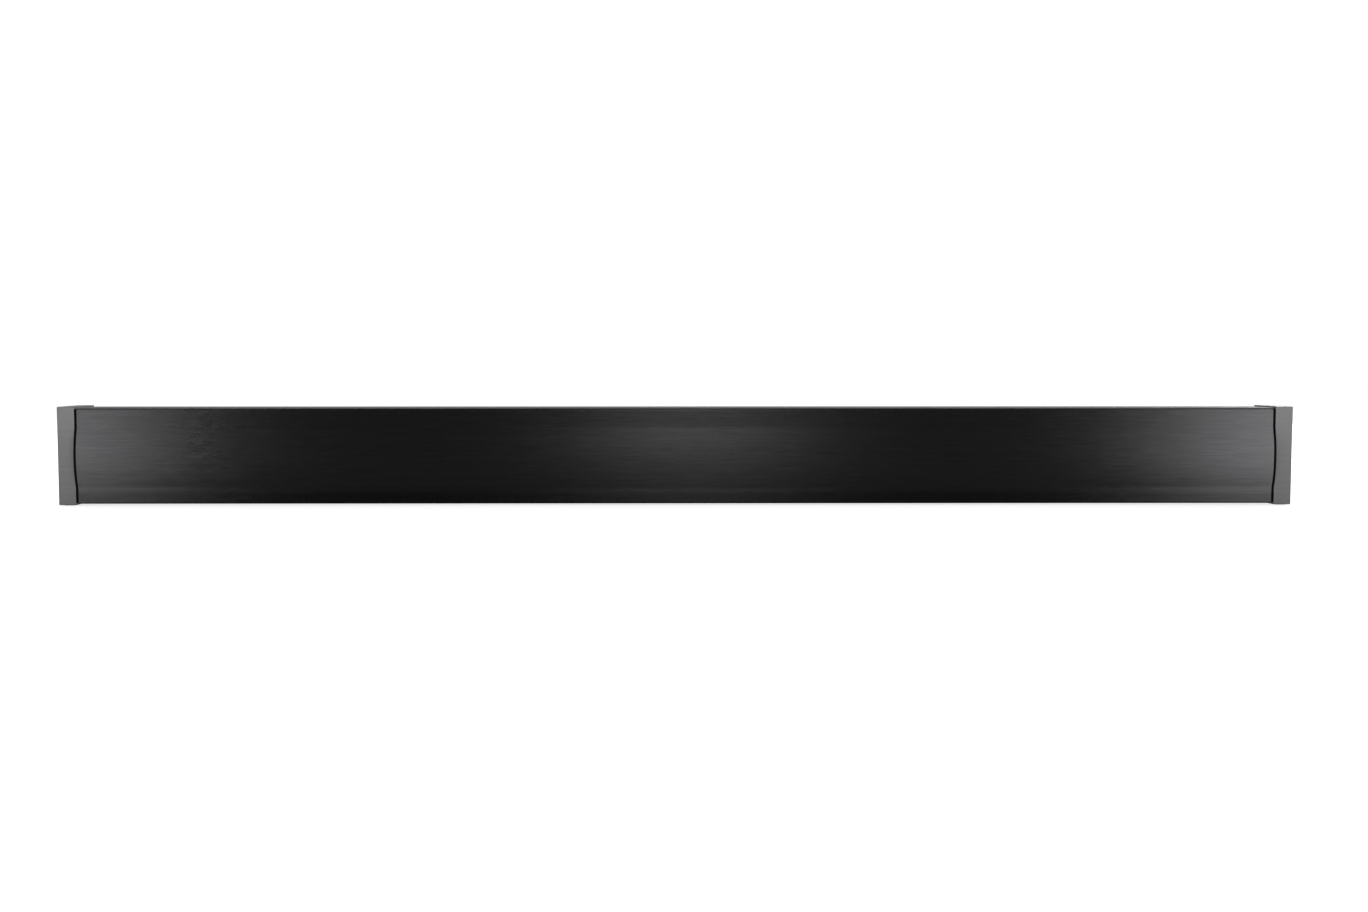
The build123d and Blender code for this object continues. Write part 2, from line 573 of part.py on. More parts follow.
for number, x in enumerate(WOOFER_X, 1):
    with BuildPart() as basket:
        with BuildSketch(facing_front(x, BAFFLE_FRONT, DRIVER_Z)):
            RectangleRounded(WOOFER_FRAME, WOOFER_FRAME, WOOFER_CORNER_RADIUS)
            Circle(BASKET_MOUTH, mode=Mode.SUBTRACT)
            with GridLocations(WOOFER_HOLE_PITCH, WOOFER_HOLE_PITCH, 2, 2):
                Circle(SCREW_CLEARANCE, mode=Mode.SUBTRACT)
        extrude(amount=FLANGE_THICKNESS)
        turn(
            x,
            (
                (25.2, BAFFLE_FRONT),
                (20.6, -5.5),
                (18.7, -5.5),
                (18.7, PLATE_FRONT),
                (11.5, PLATE_FRONT),
                (11.5, PLATE_FRONT - 1.2),
                (17.5, PLATE_FRONT - 1.2),
                (17.5, SPIDER_Y + CLOTH / 2),
                (19.6, SPIDER_Y + CLOTH / 2),
                (BASKET_MOUTH, BAFFLE_FRONT),
            ),
        )
        # eight windows between the spokes
        with BuildSketch(facing_front(x, -9, DRIVER_Z)):
            Circle(27)
            Circle(19, mode=Mode.SUBTRACT)
            with PolarLocations(0, 4):
                Rectangle(2 * 27, 6, mode=Mode.SUBTRACT)
                Rectangle(2 * 27, 4, rotation=45, mode=Mode.SUBTRACT)
        extrude(amount=8, mode=Mode.SUBTRACT)
        # terminal tab
        with BuildSketch(facing_front(x, -5.5, DRIVER_Z + 23)):
            Rectangle(9, 8.5)
        extrude(amount=1.2)
    save(basket, f"woofer_{number}_basket")

    with BuildPart() as motor:
        turn(
            x,
            ring(PLATE_BORE, 20, PLATE_FRONT + GLUE_GAP, MAGNET_FRONT),
            ring(12.5, 22, MAGNET_FRONT + GLUE_GAP, MAGNET_BACK),
            (
                (0, PLATE_FRONT - 0.5),
                (POLE_RADIUS, PLATE_FRONT - 0.5),
                (POLE_RADIUS, MAGNET_BACK + GLUE_GAP),
                (20, MAGNET_BACK + GLUE_GAP),
                (20, YOKE_BACK),
                (0, YOKE_BACK),
            ),
        )
    save(motor, f"woofer_{number}_motor")

    with BuildPart() as cone:
        turn(
            x,
            # paper cone
            (
                (10.3, -8.6),
                (20.6, FLANGE_FRONT + 0.5),
                (CONE_RIM, FLANGE_FRONT + 0.5),
                (CONE_RIM, FLANGE_FRONT),
                (20.2, FLANGE_FRONT),
                (10.3, -9.6),
            ),
            # voice-coil former and winding
            ring(COIL_BORE, FORMER_OUTER, -10, 1.5),
            ring(FORMER_OUTER + GLUE_GAP, COIL_OUTER, -5, 1),
        )
        # dust cap
        turn_shell(x, 11.4, -11.7, 3.6, 0.45)
    save(cone, f"woofer_{number}_cone")

    with BuildPart() as surround:
        roll = (ROLL_OUTER - CONE_RIM) / 2
        middle = (ROLL_OUTER + CONE_RIM) / 2
        with BuildSketch(driver_plane(x)):
            with BuildLine():
                Line((19.8, FLANGE_FRONT - CLOTH), (CONE_RIM, FLANGE_FRONT - CLOTH))
                ThreePointArc(
                    (CONE_RIM, FLANGE_FRONT - CLOTH),
                    (middle, FLANGE_FRONT - CLOTH - roll),
                    (ROLL_OUTER, FLANGE_FRONT - CLOTH),
                )
                Polyline(
                    (ROLL_OUTER, FLANGE_FRONT - CLOTH),
                    (27.4, FLANGE_FRONT - CLOTH),
                    (27.4, FLANGE_FRONT),
                    (ROLL_OUTER - CLOTH, FLANGE_FRONT),
                )
                ThreePointArc(
                    (ROLL_OUTER - CLOTH, FLANGE_FRONT),
                    (middle, FLANGE_FRONT - roll),
                    (CONE_RIM + CLOTH, FLANGE_FRONT),
                )
                Polyline(
                    (CONE_RIM + CLOTH, FLANGE_FRONT),
                    (19.8, FLANGE_FRONT),
                    (19.8, FLANGE_FRONT - CLOTH),
                )
            make_face()
        revolve(axis=driver_axis(x))
    save(surround, f"woofer_{number}_surround")

    with BuildPart() as spider:
        start = FORMER_OUTER + 0.3
        half_wave = (17.5 - start) / SPIDER_WAVES
        with BuildSketch(driver_plane(x)):
            with BuildLine():
                for face in (-CLOTH / 2, CLOTH / 2):
                    y = SPIDER_Y + face
                    for wave in range(SPIDER_WAVES):
                        rise = SPIDER_WAVE_HEIGHT * (-1) ** wave
                        ThreePointArc(
                            (start + wave * half_wave, y),
                            (start + (wave + 0.5) * half_wave, y + rise),
                            (start + (wave + 1) * half_wave, y),
                        )
                    Line((17.5, y), (SPIDER_OUTER, y))
                Line((start, SPIDER_Y - CLOTH / 2), (start, SPIDER_Y + CLOTH / 2))
                Line((SPIDER_OUTER, SPIDER_Y - CLOTH / 2), (SPIDER_OUTER, SPIDER_Y + CLOTH / 2))
            make_face()
        revolve(axis=driver_axis(x))
    save(spider, f"woofer_{number}_spider")

DOME_RADIUS = 9.8
DOME_CLEARANCE = 0.4
TWEETER_BACK = -6
for x, name in zip(TWEETER_X, ("tweeter_left", "tweeter_right")):
    with BuildPart() as faceplate:
        # a flange with a short flared throat
        turn(
            x,
            (
                (DOME_RADIUS + DOME_CLEARANCE, BAFFLE_FRONT),
                (DOME_RADIUS + DOME_CLEARANCE, BAFFLE_FRONT - 0.8),
                (15, FLANGE_FRONT),
                (TWEETER_FACE_RADIUS, FLANGE_FRONT),
                (TWEETER_FACE_RADIUS, BAFFLE_FRONT),
            ),
        )
        with BuildSketch(facing_front(x, BAFFLE_FRONT, DRIVER_Z)):
            with PolarLocations(TWEETER_HOLE_CIRCLE, 3, start_angle=90):
                Circle(SCREW_CLEARANCE)
        extrude(amount=FLANGE_THICKNESS, mode=Mode.SUBTRACT)
    save(faceplate, f"{name}_faceplate")

    with BuildPart() as tweeter_motor:
        turn(
            x,
            # steel cup behind the faceplate, and the magnet with its pole inside it
            (
                (13.4, BAFFLE_FRONT + GLUE_GAP),
                (13.4, TWEETER_BACK),
                (0, TWEETER_BACK),
                (0, TWEETER_BACK - 2),
                (11.6, TWEETER_BACK - 2),
                (11.6, BAFFLE_FRONT + 4),
                (10.2, BAFFLE_FRONT + 4),
                (10.2, BAFFLE_FRONT + GLUE_GAP + 1),
                (11, BAFFLE_FRONT + GLUE_GAP),
            ),
            (
                (0, BAFFLE_FRONT + 1),
                (8.4, BAFFLE_FRONT + 1),
                (8.4, TWEETER_BACK - 2 - GLUE_GAP),
                (0, TWEETER_BACK - 2 - GLUE_GAP),
            ),
        )
    save(tweeter_motor, f"{name}_motor")

    with BuildPart() as dome:
        # silk dome, and the voice coil glued behind its rim
        turn_shell(x, DOME_RADIUS - 0.2, BAFFLE_FRONT - 0.5, 3.4, 0.3)
        turn(x, ring(9, 9.4, BAFFLE_FRONT, BAFFLE_FRONT + 4.5))
    save(dome, f"{name}_dome")

# ---- bass ports: flared tubes through the rear wall ----
for side, name in ((-1, "bass_port_left"), (1, "bass_port_right")):
    with BuildPart() as bass_port:
        plane = Plane(origin=(side * PORT_X, 0, BODY_MIDDLE), x_dir=(1, 0, 0), z_dir=(0, 0, 1))
        with BuildSketch(plane):
            with BuildLine():
                Polyline(
                    (PORT_BORE + PORT_FLARE, REAR),
                    (PORT_FLANGE, REAR),
                    (PORT_FLANGE, REAR - PORT_FLANGE_THICKNESS),
                    (PORT_TUBE, REAR - PORT_FLANGE_THICKNESS),
                    (PORT_TUBE, REAR - PORT_LENGTH),
                    (PORT_BORE, REAR - PORT_LENGTH),
                    (PORT_BORE, REAR - PORT_FLARE),
                )
                RadiusArc(
                    (PORT_BORE, REAR - PORT_FLARE), (PORT_BORE + PORT_FLARE, REAR), PORT_FLARE
                )
            make_face()
        revolve(axis=Axis((side * PORT_X, 0, BODY_MIDDLE), (0, 1, 0)))
    save(bass_port, name)

# ---- terminal plate in the bay ----
HDMI_SHELL = (15, 6)
HDMI_OPENING = (13.9, 4.6, 9)
HDMI_TONGUE = (11.6, 1.2, 0.5)  # width, thickness, above the middle
HDMI_CORNER = 1.8  # cut off the two lower corners
OPTICAL_SHELL = (11, 11)
OPTICAL_OPENING = (7, 7, 9)
OPTICAL_CORNER_RADIUS = 1.2
AUX_BODY = (10, 11)
AUX_NUT_RADIUS = 4
AUX_NUT_PROUD = 1
AUX_BORE = 1.8
AUX_DEPTH = 14
AC_BODY = (21, 13)
AC_FLANGE = (28, 19, 1.5)
AC_RECESS = (15.6, 8.4, 11)
AC_CORNER_RADIUS = 2
AC_PIN_X = 4.3
AC_PIN_RADIUS = 1.2
AC_PIN_LENGTH = 8.5
SHELL_GAP = 0.2  # round each connector in the terminal plate
PLATE_CORNER_RADIUS = 2


def draw_hdmi(width, height, mode=Mode.ADD):
    """Sketch a rectangle with its two lower corners cut off."""
    side, top, cut = width / 2, height / 2, HDMI_CORNER
    lower = [(side, cut - top), (side - cut, -top), (cut - side, -top), (-side, cut - top)]
    Polygon((-side, top), (side, top), *lower, mode=mode)


with BuildPart() as terminal_plate:
    with BuildSketch(facing_front(0, PLATE_REAR, TERMINAL_Z)):
        RectangleRounded(TERMINAL_PLATE[0], TERMINAL_PLATE[1], PLATE_CORNER_RADIUS)
        with GridLocations(*TERMINAL_SCREWS, 2, 2):
            Circle(SCREW_CLEARANCE, mode=Mode.SUBTRACT)
        for x, size in ((OPTICAL_X, OPTICAL_SHELL), (AC_X, AC_BODY)):
            with Locations((x, 0)):
                Rectangle(size[0] + 2 * SHELL_GAP, size[1] + 2 * SHELL_GAP, mode=Mode.SUBTRACT)
        with Locations((HDMI_X, 0)):
            draw_hdmi(HDMI_SHELL[0] + 2 * SHELL_GAP, HDMI_SHELL[1] + 2 * SHELL_GAP, Mode.SUBTRACT)
        with Locations((AUX_X, 0)):
            Circle(AUX_NUT_RADIUS + SHELL_GAP, mode=Mode.SUBTRACT)
    extrude(amount=TERMINAL_PLATE[2])
save(terminal_plate, "terminal_plate")

# ---- keyhole plates: round entry below, narrow slot above ----
with BuildPart() as keyhole_plates:
    for side in (-1, 1):
        with BuildSketch(facing_front(side * KEYHOLE_X, REAR - KEYHOLE_SINK, KEYHOLE_Z)):
            Rectangle(KEYHOLE_PLATE[0], KEYHOLE_PLATE[1])
            with Locations((0, -KEYHOLE_RISE / 2)):
                Circle(KEYHOLE_HEAD_RADIUS, mode=Mode.SUBTRACT)
            SlotCenterToCenter(KEYHOLE_RISE, KEYHOLE_SLOT_WIDTH, rotation=90, mode=Mode.SUBTRACT)
            with GridLocations(KEYHOLE_SCREW_PITCH, 1, 2, 1):
                Circle(SCREW_CLEARANCE, mode=Mode.SUBTRACT)
        extrude(amount=KEYHOLE_PLATE[2])
save(keyhole_plates, "keyhole_plates")


# ---- circuit boards ----
def draw_board(x_low, x_high):
    """Sketch a board with its screw holes, in the plane of its front face."""
    with Locations(((x_low + x_high) / 2, (BOARD_Z[0] + BOARD_Z[1]) / 2)):
        Rectangle(x_high - x_low, BOARD_Z[1] - BOARD_Z[0])
    with Locations(*[place for place in BOARD_SCREWS if x_low < place[0] < x_high]):
        Circle(SCREW_CLEARANCE, mode=Mode.SUBTRACT)


def put_block(x, z, width, height, depth):
    """Stand a block on the boards' front face."""
    with BuildSketch(facing_front(x, BOARD_FRONT - GLUE_GAP, z)) as base:
        Rectangle(width, height)
    extrude(base.sketch, amount=depth)


LEFT_HEADERS = (-102, -96, -90)
RIGHT_HEADERS = (-14, -8, -2)
HEADER_Z = 57
HEADER_SIZE = (5, 6, 7)
PROCESSOR = (-32, 30, 14, 14, 1.4)  # X, Z, width, height and depth, as for every block below
RADIO_MODULE = (-8, 30, 15, 22, 2.2)
COIL_PLACES = ((-104, 24), (-104, 40), (-44, 16), (-44, 48))
COIL_SIZE = (11, 11, 6)
with BuildPart() as main_board:
    with BuildSketch(facing_front(0, BOARD_BACK, 0)):
        draw_board(*MAIN_BOARD_X)
    extrude(amount=BOARD_THICKNESS)
    # headers for the speaker wires, the processor, the radio module and the coils
    for x in (*LEFT_HEADERS, *RIGHT_HEADERS):
        put_block(x, HEADER_Z, *HEADER_SIZE)
    put_block(*PROCESSOR)
    put_block(*RADIO_MODULE)
    for x, z in COIL_PLACES:
        put_block(x, z, *COIL_SIZE)
save(main_board, "main_board")

FUSE = (24, 18, 6, 14, 7)
CHOKE = (44, 22, 16, 14, 14)
RECTIFIER = (24, 42, 14, 4, 12)
with BuildPart() as power_board:
    with BuildSketch(facing_front(0, BOARD_BACK, 0)):
        draw_board(*POWER_BOARD_X)
    extrude(amount=BOARD_THICKNESS)
    put_block(*FUSE)
    put_block(*CHOKE)
    put_block(*RECTIFIER)
save(power_board, "power_board")

SINK_PLACE = (-72, 34)  # (X, Z)
SINK_SIZE = (36, 38, 3)
SINK_FINS = 8
FIN = (1.5, 18)  # thickness, height above the board
with BuildPart() as heat_sink:
    put_block(*SINK_PLACE, *SINK_SIZE)
    for i in range(SINK_FINS):
        fin_x = SINK_PLACE[0] + (SINK_SIZE[0] - FIN[0]) * (i / (SINK_FINS - 1) - 0.5)
        put_block(fin_x, SINK_PLACE[1], FIN[0], SINK_SIZE[1], FIN[1])
save(heat_sink, "heat_sink")

BOBBIN_FOOT = (72, 30, 30, 26, 1.8)
CORE_LIMB = (28, 5)
CORE_LIMB_Z = 10.5  # of each limb, from the core's middle
CORE_DEPTH = 17
CORE_GAP = 2  # from the board to the core
WINDING_RADIUS = 7.8
with BuildPart() as power_transformer:
    put_block(*BOBBIN_FOOT)
    with BuildSketch(facing_front(BOBBIN_FOOT[0], BOARD_FRONT - CORE_GAP, BOBBIN_FOOT[1])):
        with Locations((0, CORE_LIMB_Z), (0, -CORE_LIMB_Z)):
            Rectangle(*CORE_LIMB)
        Circle(WINDING_RADIUS)
    extrude(amount=CORE_DEPTH)
save(power_transformer, "power_transformer")

CAPACITOR_PLACES = ((98, 28), (98, 46), (80, 54))  # (X, Z)
CAPACITOR_RADIUS = 7
CAPACITOR_LENGTH = 20
with BuildPart() as filter_capacitors:
    with BuildSketch(facing_front(0, BOARD_FRONT - GLUE_GAP, 0)):
        with Locations(*CAPACITOR_PLACES):
            Circle(CAPACITOR_RADIUS)
    extrude(amount=CAPACITOR_LENGTH)
    fillet(filter_capacitors.edges().group_by(Axis.Y)[0], radius=1)
save(filter_capacitors, "filter_capacitors")

INDICATOR_BOARD = (44, 16, 1.2)
RECEIVER_X = -14
RECEIVER = (6, 7)
LIGHT_X = (0, 7, 14)
LIGHT_RADIUS = 1.5
LIGHT_LENGTH = 5
with BuildPart() as indicator_board:
    with BuildSketch(facing_front(0, BAFFLE_FRONT - GLUE_GAP, BODY_MIDDLE)):
        Rectangle(INDICATOR_BOARD[0], INDICATOR_BOARD[1])
    extrude(amount=INDICATOR_BOARD[2])
    # infrared receiver and three status lights
    with BuildSketch(facing_front(0, BAFFLE_FRONT - INDICATOR_BOARD[2] - FIT, BODY_MIDDLE)):
        with Locations((RECEIVER_X, 0)):
            Rectangle(*RECEIVER)
        with Locations(*[(x, 0) for x in LIGHT_X]):
            Circle(LIGHT_RADIUS)
    extrude(amount=LIGHT_LENGTH)
save(indicator_board, "indicator_board")

SWITCH_BASE = KEY_BOARD_X + BOARD_THICKNESS
with BuildPart() as key_board:
    with BuildSketch(Plane.YZ.offset(KEY_BOARD_X)):
        with Locations((BUTTON_Y, BODY_MIDDLE)):
            Rectangle(*KEY_BOARD)
        with Locations(*[(BUTTON_Y, z) for z in KEY_BOARD_SCREW_Z]):
            Circle(SCREW_CLEARANCE, mode=Mode.SUBTRACT)
    extrude(amount=BOARD_THICKNESS)
    with BuildSketch(Plane.YZ.offset(SWITCH_BASE)):
        with Locations(*[(BUTTON_Y, z) for z in BUTTON_Z]):
            Rectangle(SWITCH_SIDE, SWITCH_SIDE)
    extrude(amount=SWITCH_HEIGHT)
    with BuildSketch(Plane.YZ.offset(SWITCH_BASE + SWITCH_HEIGHT)):
        with Locations(*[(BUTTON_Y, z) for z in BUTTON_Z]):
            Circle(PLUNGER_RADIUS)
    extrude(amount=PLUNGER_HEIGHT)
save(key_board, "key_board")

# ---- buttons: a cap that shows, a flange that keeps it in, a stem over its switch ----
CAP_OUTER = CAP_INNER + CAP_WIDTH
WALL_INSIDE = CAP_OUTER - CAP_WALL
BUTTON_FACE = CAP_OUTER - BUTTON_SINK
FLANGE_FACE = WALL_INSIDE - BUTTON_PLAY
STEM_END = SWITCH_BASE + SWITCH_HEIGHT + PLUNGER_HEIGHT + BUTTON_TRAVEL + STEM_PLAY
for name, z in zip(BUTTONS, BUTTON_Z):
    with BuildPart() as button:
        with BuildSketch(facing_end(BUTTON_FACE, BUTTON_Y, z)):
            SlotOverall(*BUTTON_SIZE)
        extrude(amount=-(BUTTON_FACE - FLANGE_FACE))
        fillet(button.edges().group_by(Axis.X)[-1], radius=BUTTON_ROUNDING)
        with BuildSketch(facing_end(FLANGE_FACE, BUTTON_Y, z)):
            SlotOverall(
                BUTTON_SIZE[0] + BUTTON_FLANGE_WIDER, BUTTON_SIZE[1] + BUTTON_FLANGE_WIDER
            )
        extrude(amount=-BUTTON_FLANGE)
        with BuildSketch(facing_end(FLANGE_FACE - BUTTON_FLANGE, BUTTON_Y, z)):
            Circle(STEM_RADIUS)
        extrude(amount=-(FLANGE_FACE - BUTTON_FLANGE - STEM_END))
    save(button, name)

# ---- connectors: from the boards' rear faces out through the terminal plate ----
JACK_FRONT = BOARD_BACK + GLUE_GAP
with BuildPart() as hdmi_jack:
    with BuildSketch(facing_rear(HDMI_X, JACK_FRONT, TERMINAL_Z)):
        draw_hdmi(*HDMI_SHELL)
    extrude(amount=PLATE_REAR - JACK_FRONT)
    with BuildSketch(facing_rear(HDMI_X, PLATE_REAR, TERMINAL_Z)):
        draw_hdmi(HDMI_OPENING[0], HDMI_OPENING[1])
        with Locations((0, HDMI_TONGUE[2])):
            Rectangle(HDMI_TONGUE[0], HDMI_TONGUE[1], mode=Mode.SUBTRACT)
    extrude(amount=-HDMI_OPENING[2], mode=Mode.SUBTRACT)
save(hdmi_jack, "hdmi_jack")

with BuildPart() as optical_jack:
    with BuildSketch(facing_rear(OPTICAL_X, JACK_FRONT, TERMINAL_Z)):
        Rectangle(*OPTICAL_SHELL)
    extrude(amount=PLATE_REAR - JACK_FRONT)
    with BuildSketch(facing_rear(OPTICAL_X, PLATE_REAR, TERMINAL_Z)):
        RectangleRounded(OPTICAL_OPENING[0], OPTICAL_OPENING[1], OPTICAL_CORNER_RADIUS)
    extrude(amount=-OPTICAL_OPENING[2], mode=Mode.SUBTRACT)
save(optical_jack, "optical_jack")

with BuildPart() as aux_jack:
    with BuildSketch(facing_rear(AUX_X, JACK_FRONT, TERMINAL_Z)):
        Rectangle(*AUX_BODY)
    extrude(amount=BAY_FLOOR - JACK_FRONT - SHELL_GAP)
    with BuildSketch(facing_rear(AUX_X, BAY_FLOOR - SHELL_GAP, TERMINAL_Z)):
        Circle(AUX_NUT_RADIUS)
    extrude(amount=PLATE_REAR - BAY_FLOOR + SHELL_GAP + AUX_NUT_PROUD)
    with BuildSketch(facing_rear(AUX_X, PLATE_REAR + AUX_NUT_PROUD, TERMINAL_Z)):
        Circle(AUX_BORE)
    extrude(amount=-AUX_DEPTH, mode=Mode.SUBTRACT)
save(aux_jack, "aux_jack")

with BuildPart() as ac_inlet:
    with BuildSketch(facing_rear(AC_X, JACK_FRONT, TERMINAL_Z)):
        Rectangle(*AC_BODY)
    extrude(amount=PLATE_REAR - JACK_FRONT)
    with BuildSketch(facing_rear(AC_X, PLATE_REAR, TERMINAL_Z)):
        RectangleRounded(AC_FLANGE[0], AC_FLANGE[1], AC_CORNER_RADIUS)
    extrude(amount=AC_FLANGE[2])
    with BuildSketch(facing_rear(AC_X, PLATE_REAR + AC_FLANGE[2], TERMINAL_Z)):
        SlotOverall(AC_RECESS[0], AC_RECESS[1])
    extrude(amount=-AC_RECESS[2], mode=Mode.SUBTRACT)
    # two contact pins in the recess
    with BuildSketch(facing_rear(AC_X, PLATE_REAR + AC_FLANGE[2] - AC_RECESS[2], TERMINAL_Z)):
        with Locations((-AC_PIN_X, 0), (AC_PIN_X, 0)):
            Circle(AC_PIN_RADIUS)
    extrude(amount=AC_PIN_LENGTH)
save(ac_inlet, "ac_inlet")

# ---- speaker wires: from the main board's headers, through the notches, to each driver ----
WIRE_RADIUS = 1.1
WIRE_TOP = INNER_TOP - 2.6
WIRE_BEND = 2.2
WIRE_LANE = 2.6
FIRST_LANE_Y = 1.5
HEADER_TOP = HEADER_Z + HEADER_SIZE[1] / 2 + GLUE_GAP
TAB_Y = -5.4
TAB_RISE = 25.5
TWEETER_TAB_RISE = 6
with BuildPart() as speaker_wires:
    for side, headers in ((-1, LEFT_HEADERS), (1, RIGHT_HEADERS)):
        targets = (
            (side * WOOFER_X[2], TAB_Y, DRIVER_Z + TAB_RISE),
            (side * WOOFER_X[3], TAB_Y, DRIVER_Z + TAB_RISE),
            (side * TWEETER_X[1], TWEETER_BACK + FIT, DRIVER_Z + TWEETER_TAB_RISE),
        )
        for lane, (start_x, target) in enumerate(zip(headers, targets)):
            lane_y = FIRST_LANE_Y + WIRE_LANE * lane
            end_x, end_y, end_z = target
            with BuildLine():
                FilletPolyline(
                    (start_x, lane_y, HEADER_TOP),
                    (start_x, lane_y, WIRE_TOP),
                    (end_x, lane_y, WIRE_TOP),
                    (end_x, lane_y, end_z),
                    (end_x, end_y, end_z),
                    radius=WIRE_BEND,
                )
            with BuildSketch(Plane.XY.offset(HEADER_TOP)):
                with Locations((start_x, lane_y)):
                    Circle(WIRE_RADIUS)
            sweep()
save(speaker_wires, "speaker_wires")


# ---- fasteners: each kind is one node, a group of separate screws ----
SHANK_RADIUS = 1.25
LARGE_HEAD = 2.8
MEDIUM_HEAD = 2.6
SMALL_HEAD = 2.4


def place_screws(planes, head_radius, shank_length):
    """Put the same screw on each plane, heads towards the plane's normal, in a BuildPart."""
    screw = make_screw(head_radius, SHANK_RADIUS, shank_length)
    for plane in planes:
        add(plane.location * screw)


with BuildPart() as baffle_screws:
    place_screws(
        [
            facing_front(side * x, BAFFLE_FRONT - GLUE_GAP, z)
            for side in (-1, 1)
            for x in BAFFLE_SCREW_X
            for z in BAFFLE_SCREW_Z
        ],
        LARGE_HEAD,
        shank_length=11,
    )
save(baffle_screws, "baffle_screws")

WOOFER_SCREW_OFFSETS = [
    (i * WOOFER_HOLE_PITCH / 2, k * WOOFER_HOLE_PITCH / 2) for i in (-1, 1) for k in (-1, 1)
]
TWEETER_SCREW_OFFSETS = [
    (place.position.X, place.position.Y)
    for place in PolarLocations(TWEETER_HOLE_CIRCLE, 3, start_angle=90).local_locations
]
with BuildPart() as driver_screws:
    place_screws(
        [
            facing_front(x + dx, FLANGE_FRONT - GLUE_GAP, DRIVER_Z + dz)
            for centres, offsets in (
                (WOOFER_X, WOOFER_SCREW_OFFSETS),
                (TWEETER_X, TWEETER_SCREW_OFFSETS),
            )
            for x in centres
            for dx, dz in offsets
        ],
        MEDIUM_HEAD,
        shank_length=5,
    )
save(driver_screws, "driver_screws")

with BuildPart() as end_cap_screws:
    place_screws(
        [
            facing_end(side * (BODY_HALF - WALL - GLUE_GAP), y, z, -side)
            for side in (-1, 1)
            for y, z in CAP_SCREW_PLACES
        ],
        LARGE_HEAD,
        shank_length=13,
    )
save(end_cap_screws, "end_cap_screws")

with BuildPart() as rear_screws:
    place_screws(
        [
            facing_rear(x, PLATE_REAR + GLUE_GAP, TERMINAL_Z + z)
            for x in (-TERMINAL_SCREWS[0] / 2, TERMINAL_SCREWS[0] / 2)
            for z in (-TERMINAL_SCREWS[1] / 2, TERMINAL_SCREWS[1] / 2)
        ]
        + [
            facing_rear(side * KEYHOLE_X + dx, REAR - KEYHOLE_SINK + GLUE_GAP, KEYHOLE_Z)
            for side in (-1, 1)
            for dx in (-KEYHOLE_SCREW_PITCH / 2, KEYHOLE_SCREW_PITCH / 2)
        ],
        SMALL_HEAD,
        shank_length=4,
    )
save(rear_screws, "rear_screws")

with BuildPart() as board_screws:
    place_screws(
        [facing_front(x, BOARD_FRONT - GLUE_GAP, z) for x, z in BOARD_SCREWS]
        + [facing_end(KEY_BOARD_X - GLUE_GAP, BUTTON_Y, z, -1) for z in KEY_BOARD_SCREW_Z],
        SMALL_HEAD,
        shank_length=5,
    )
save(board_screws, "board_screws")
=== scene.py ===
import math

import bmesh
import bpy
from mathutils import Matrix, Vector


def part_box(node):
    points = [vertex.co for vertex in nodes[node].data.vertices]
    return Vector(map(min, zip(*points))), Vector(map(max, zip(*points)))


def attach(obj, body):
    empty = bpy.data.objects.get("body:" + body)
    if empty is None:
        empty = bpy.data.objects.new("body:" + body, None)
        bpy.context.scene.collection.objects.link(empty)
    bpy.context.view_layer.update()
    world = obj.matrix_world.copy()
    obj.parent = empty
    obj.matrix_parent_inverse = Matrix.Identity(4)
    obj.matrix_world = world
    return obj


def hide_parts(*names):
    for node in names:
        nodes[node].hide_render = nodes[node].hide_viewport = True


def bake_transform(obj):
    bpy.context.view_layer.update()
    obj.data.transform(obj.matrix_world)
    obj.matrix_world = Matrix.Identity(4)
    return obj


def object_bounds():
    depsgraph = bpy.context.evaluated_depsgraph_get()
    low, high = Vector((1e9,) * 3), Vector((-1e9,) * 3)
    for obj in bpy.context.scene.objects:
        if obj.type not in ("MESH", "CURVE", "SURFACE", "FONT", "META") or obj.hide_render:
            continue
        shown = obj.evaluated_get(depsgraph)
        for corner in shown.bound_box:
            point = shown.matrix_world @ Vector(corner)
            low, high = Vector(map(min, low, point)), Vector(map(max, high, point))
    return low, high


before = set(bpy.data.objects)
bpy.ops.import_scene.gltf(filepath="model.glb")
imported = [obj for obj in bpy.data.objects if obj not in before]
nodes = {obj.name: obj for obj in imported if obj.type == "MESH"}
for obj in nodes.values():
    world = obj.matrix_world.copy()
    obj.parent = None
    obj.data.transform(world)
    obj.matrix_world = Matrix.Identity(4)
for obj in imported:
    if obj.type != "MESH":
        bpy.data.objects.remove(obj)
cad_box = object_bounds()

MM = 0.001

# ---- the grille's section, as the frame has it ----
GRILLE_LOW, GRILLE_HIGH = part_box("front_grille")
CAP_LOW, CAP_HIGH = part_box("end_cap_left")
GRILLE_SHEET = 0.8 * MM
FRONT_LEAN = 5.5 * MM
LOWER_BAND = 13 * MM
BULGE_CHORD = 46 * MM
BULGE_PROUD = 6 * MM
KINK_RADIUS = 7 * MM
TOP_RADIUS = 2.6 * MM
FOOT_RADIUS = 1.6 * MM
LOWER_BAND_START = 78 * MM  # along the sheet, from the rear of the top flange
ROUND_STEPS = {"top": 10, "kink": 12, "bulge": 48, "foot": 8}  # straight runs in each round
GRILLE_COLUMNS = 60

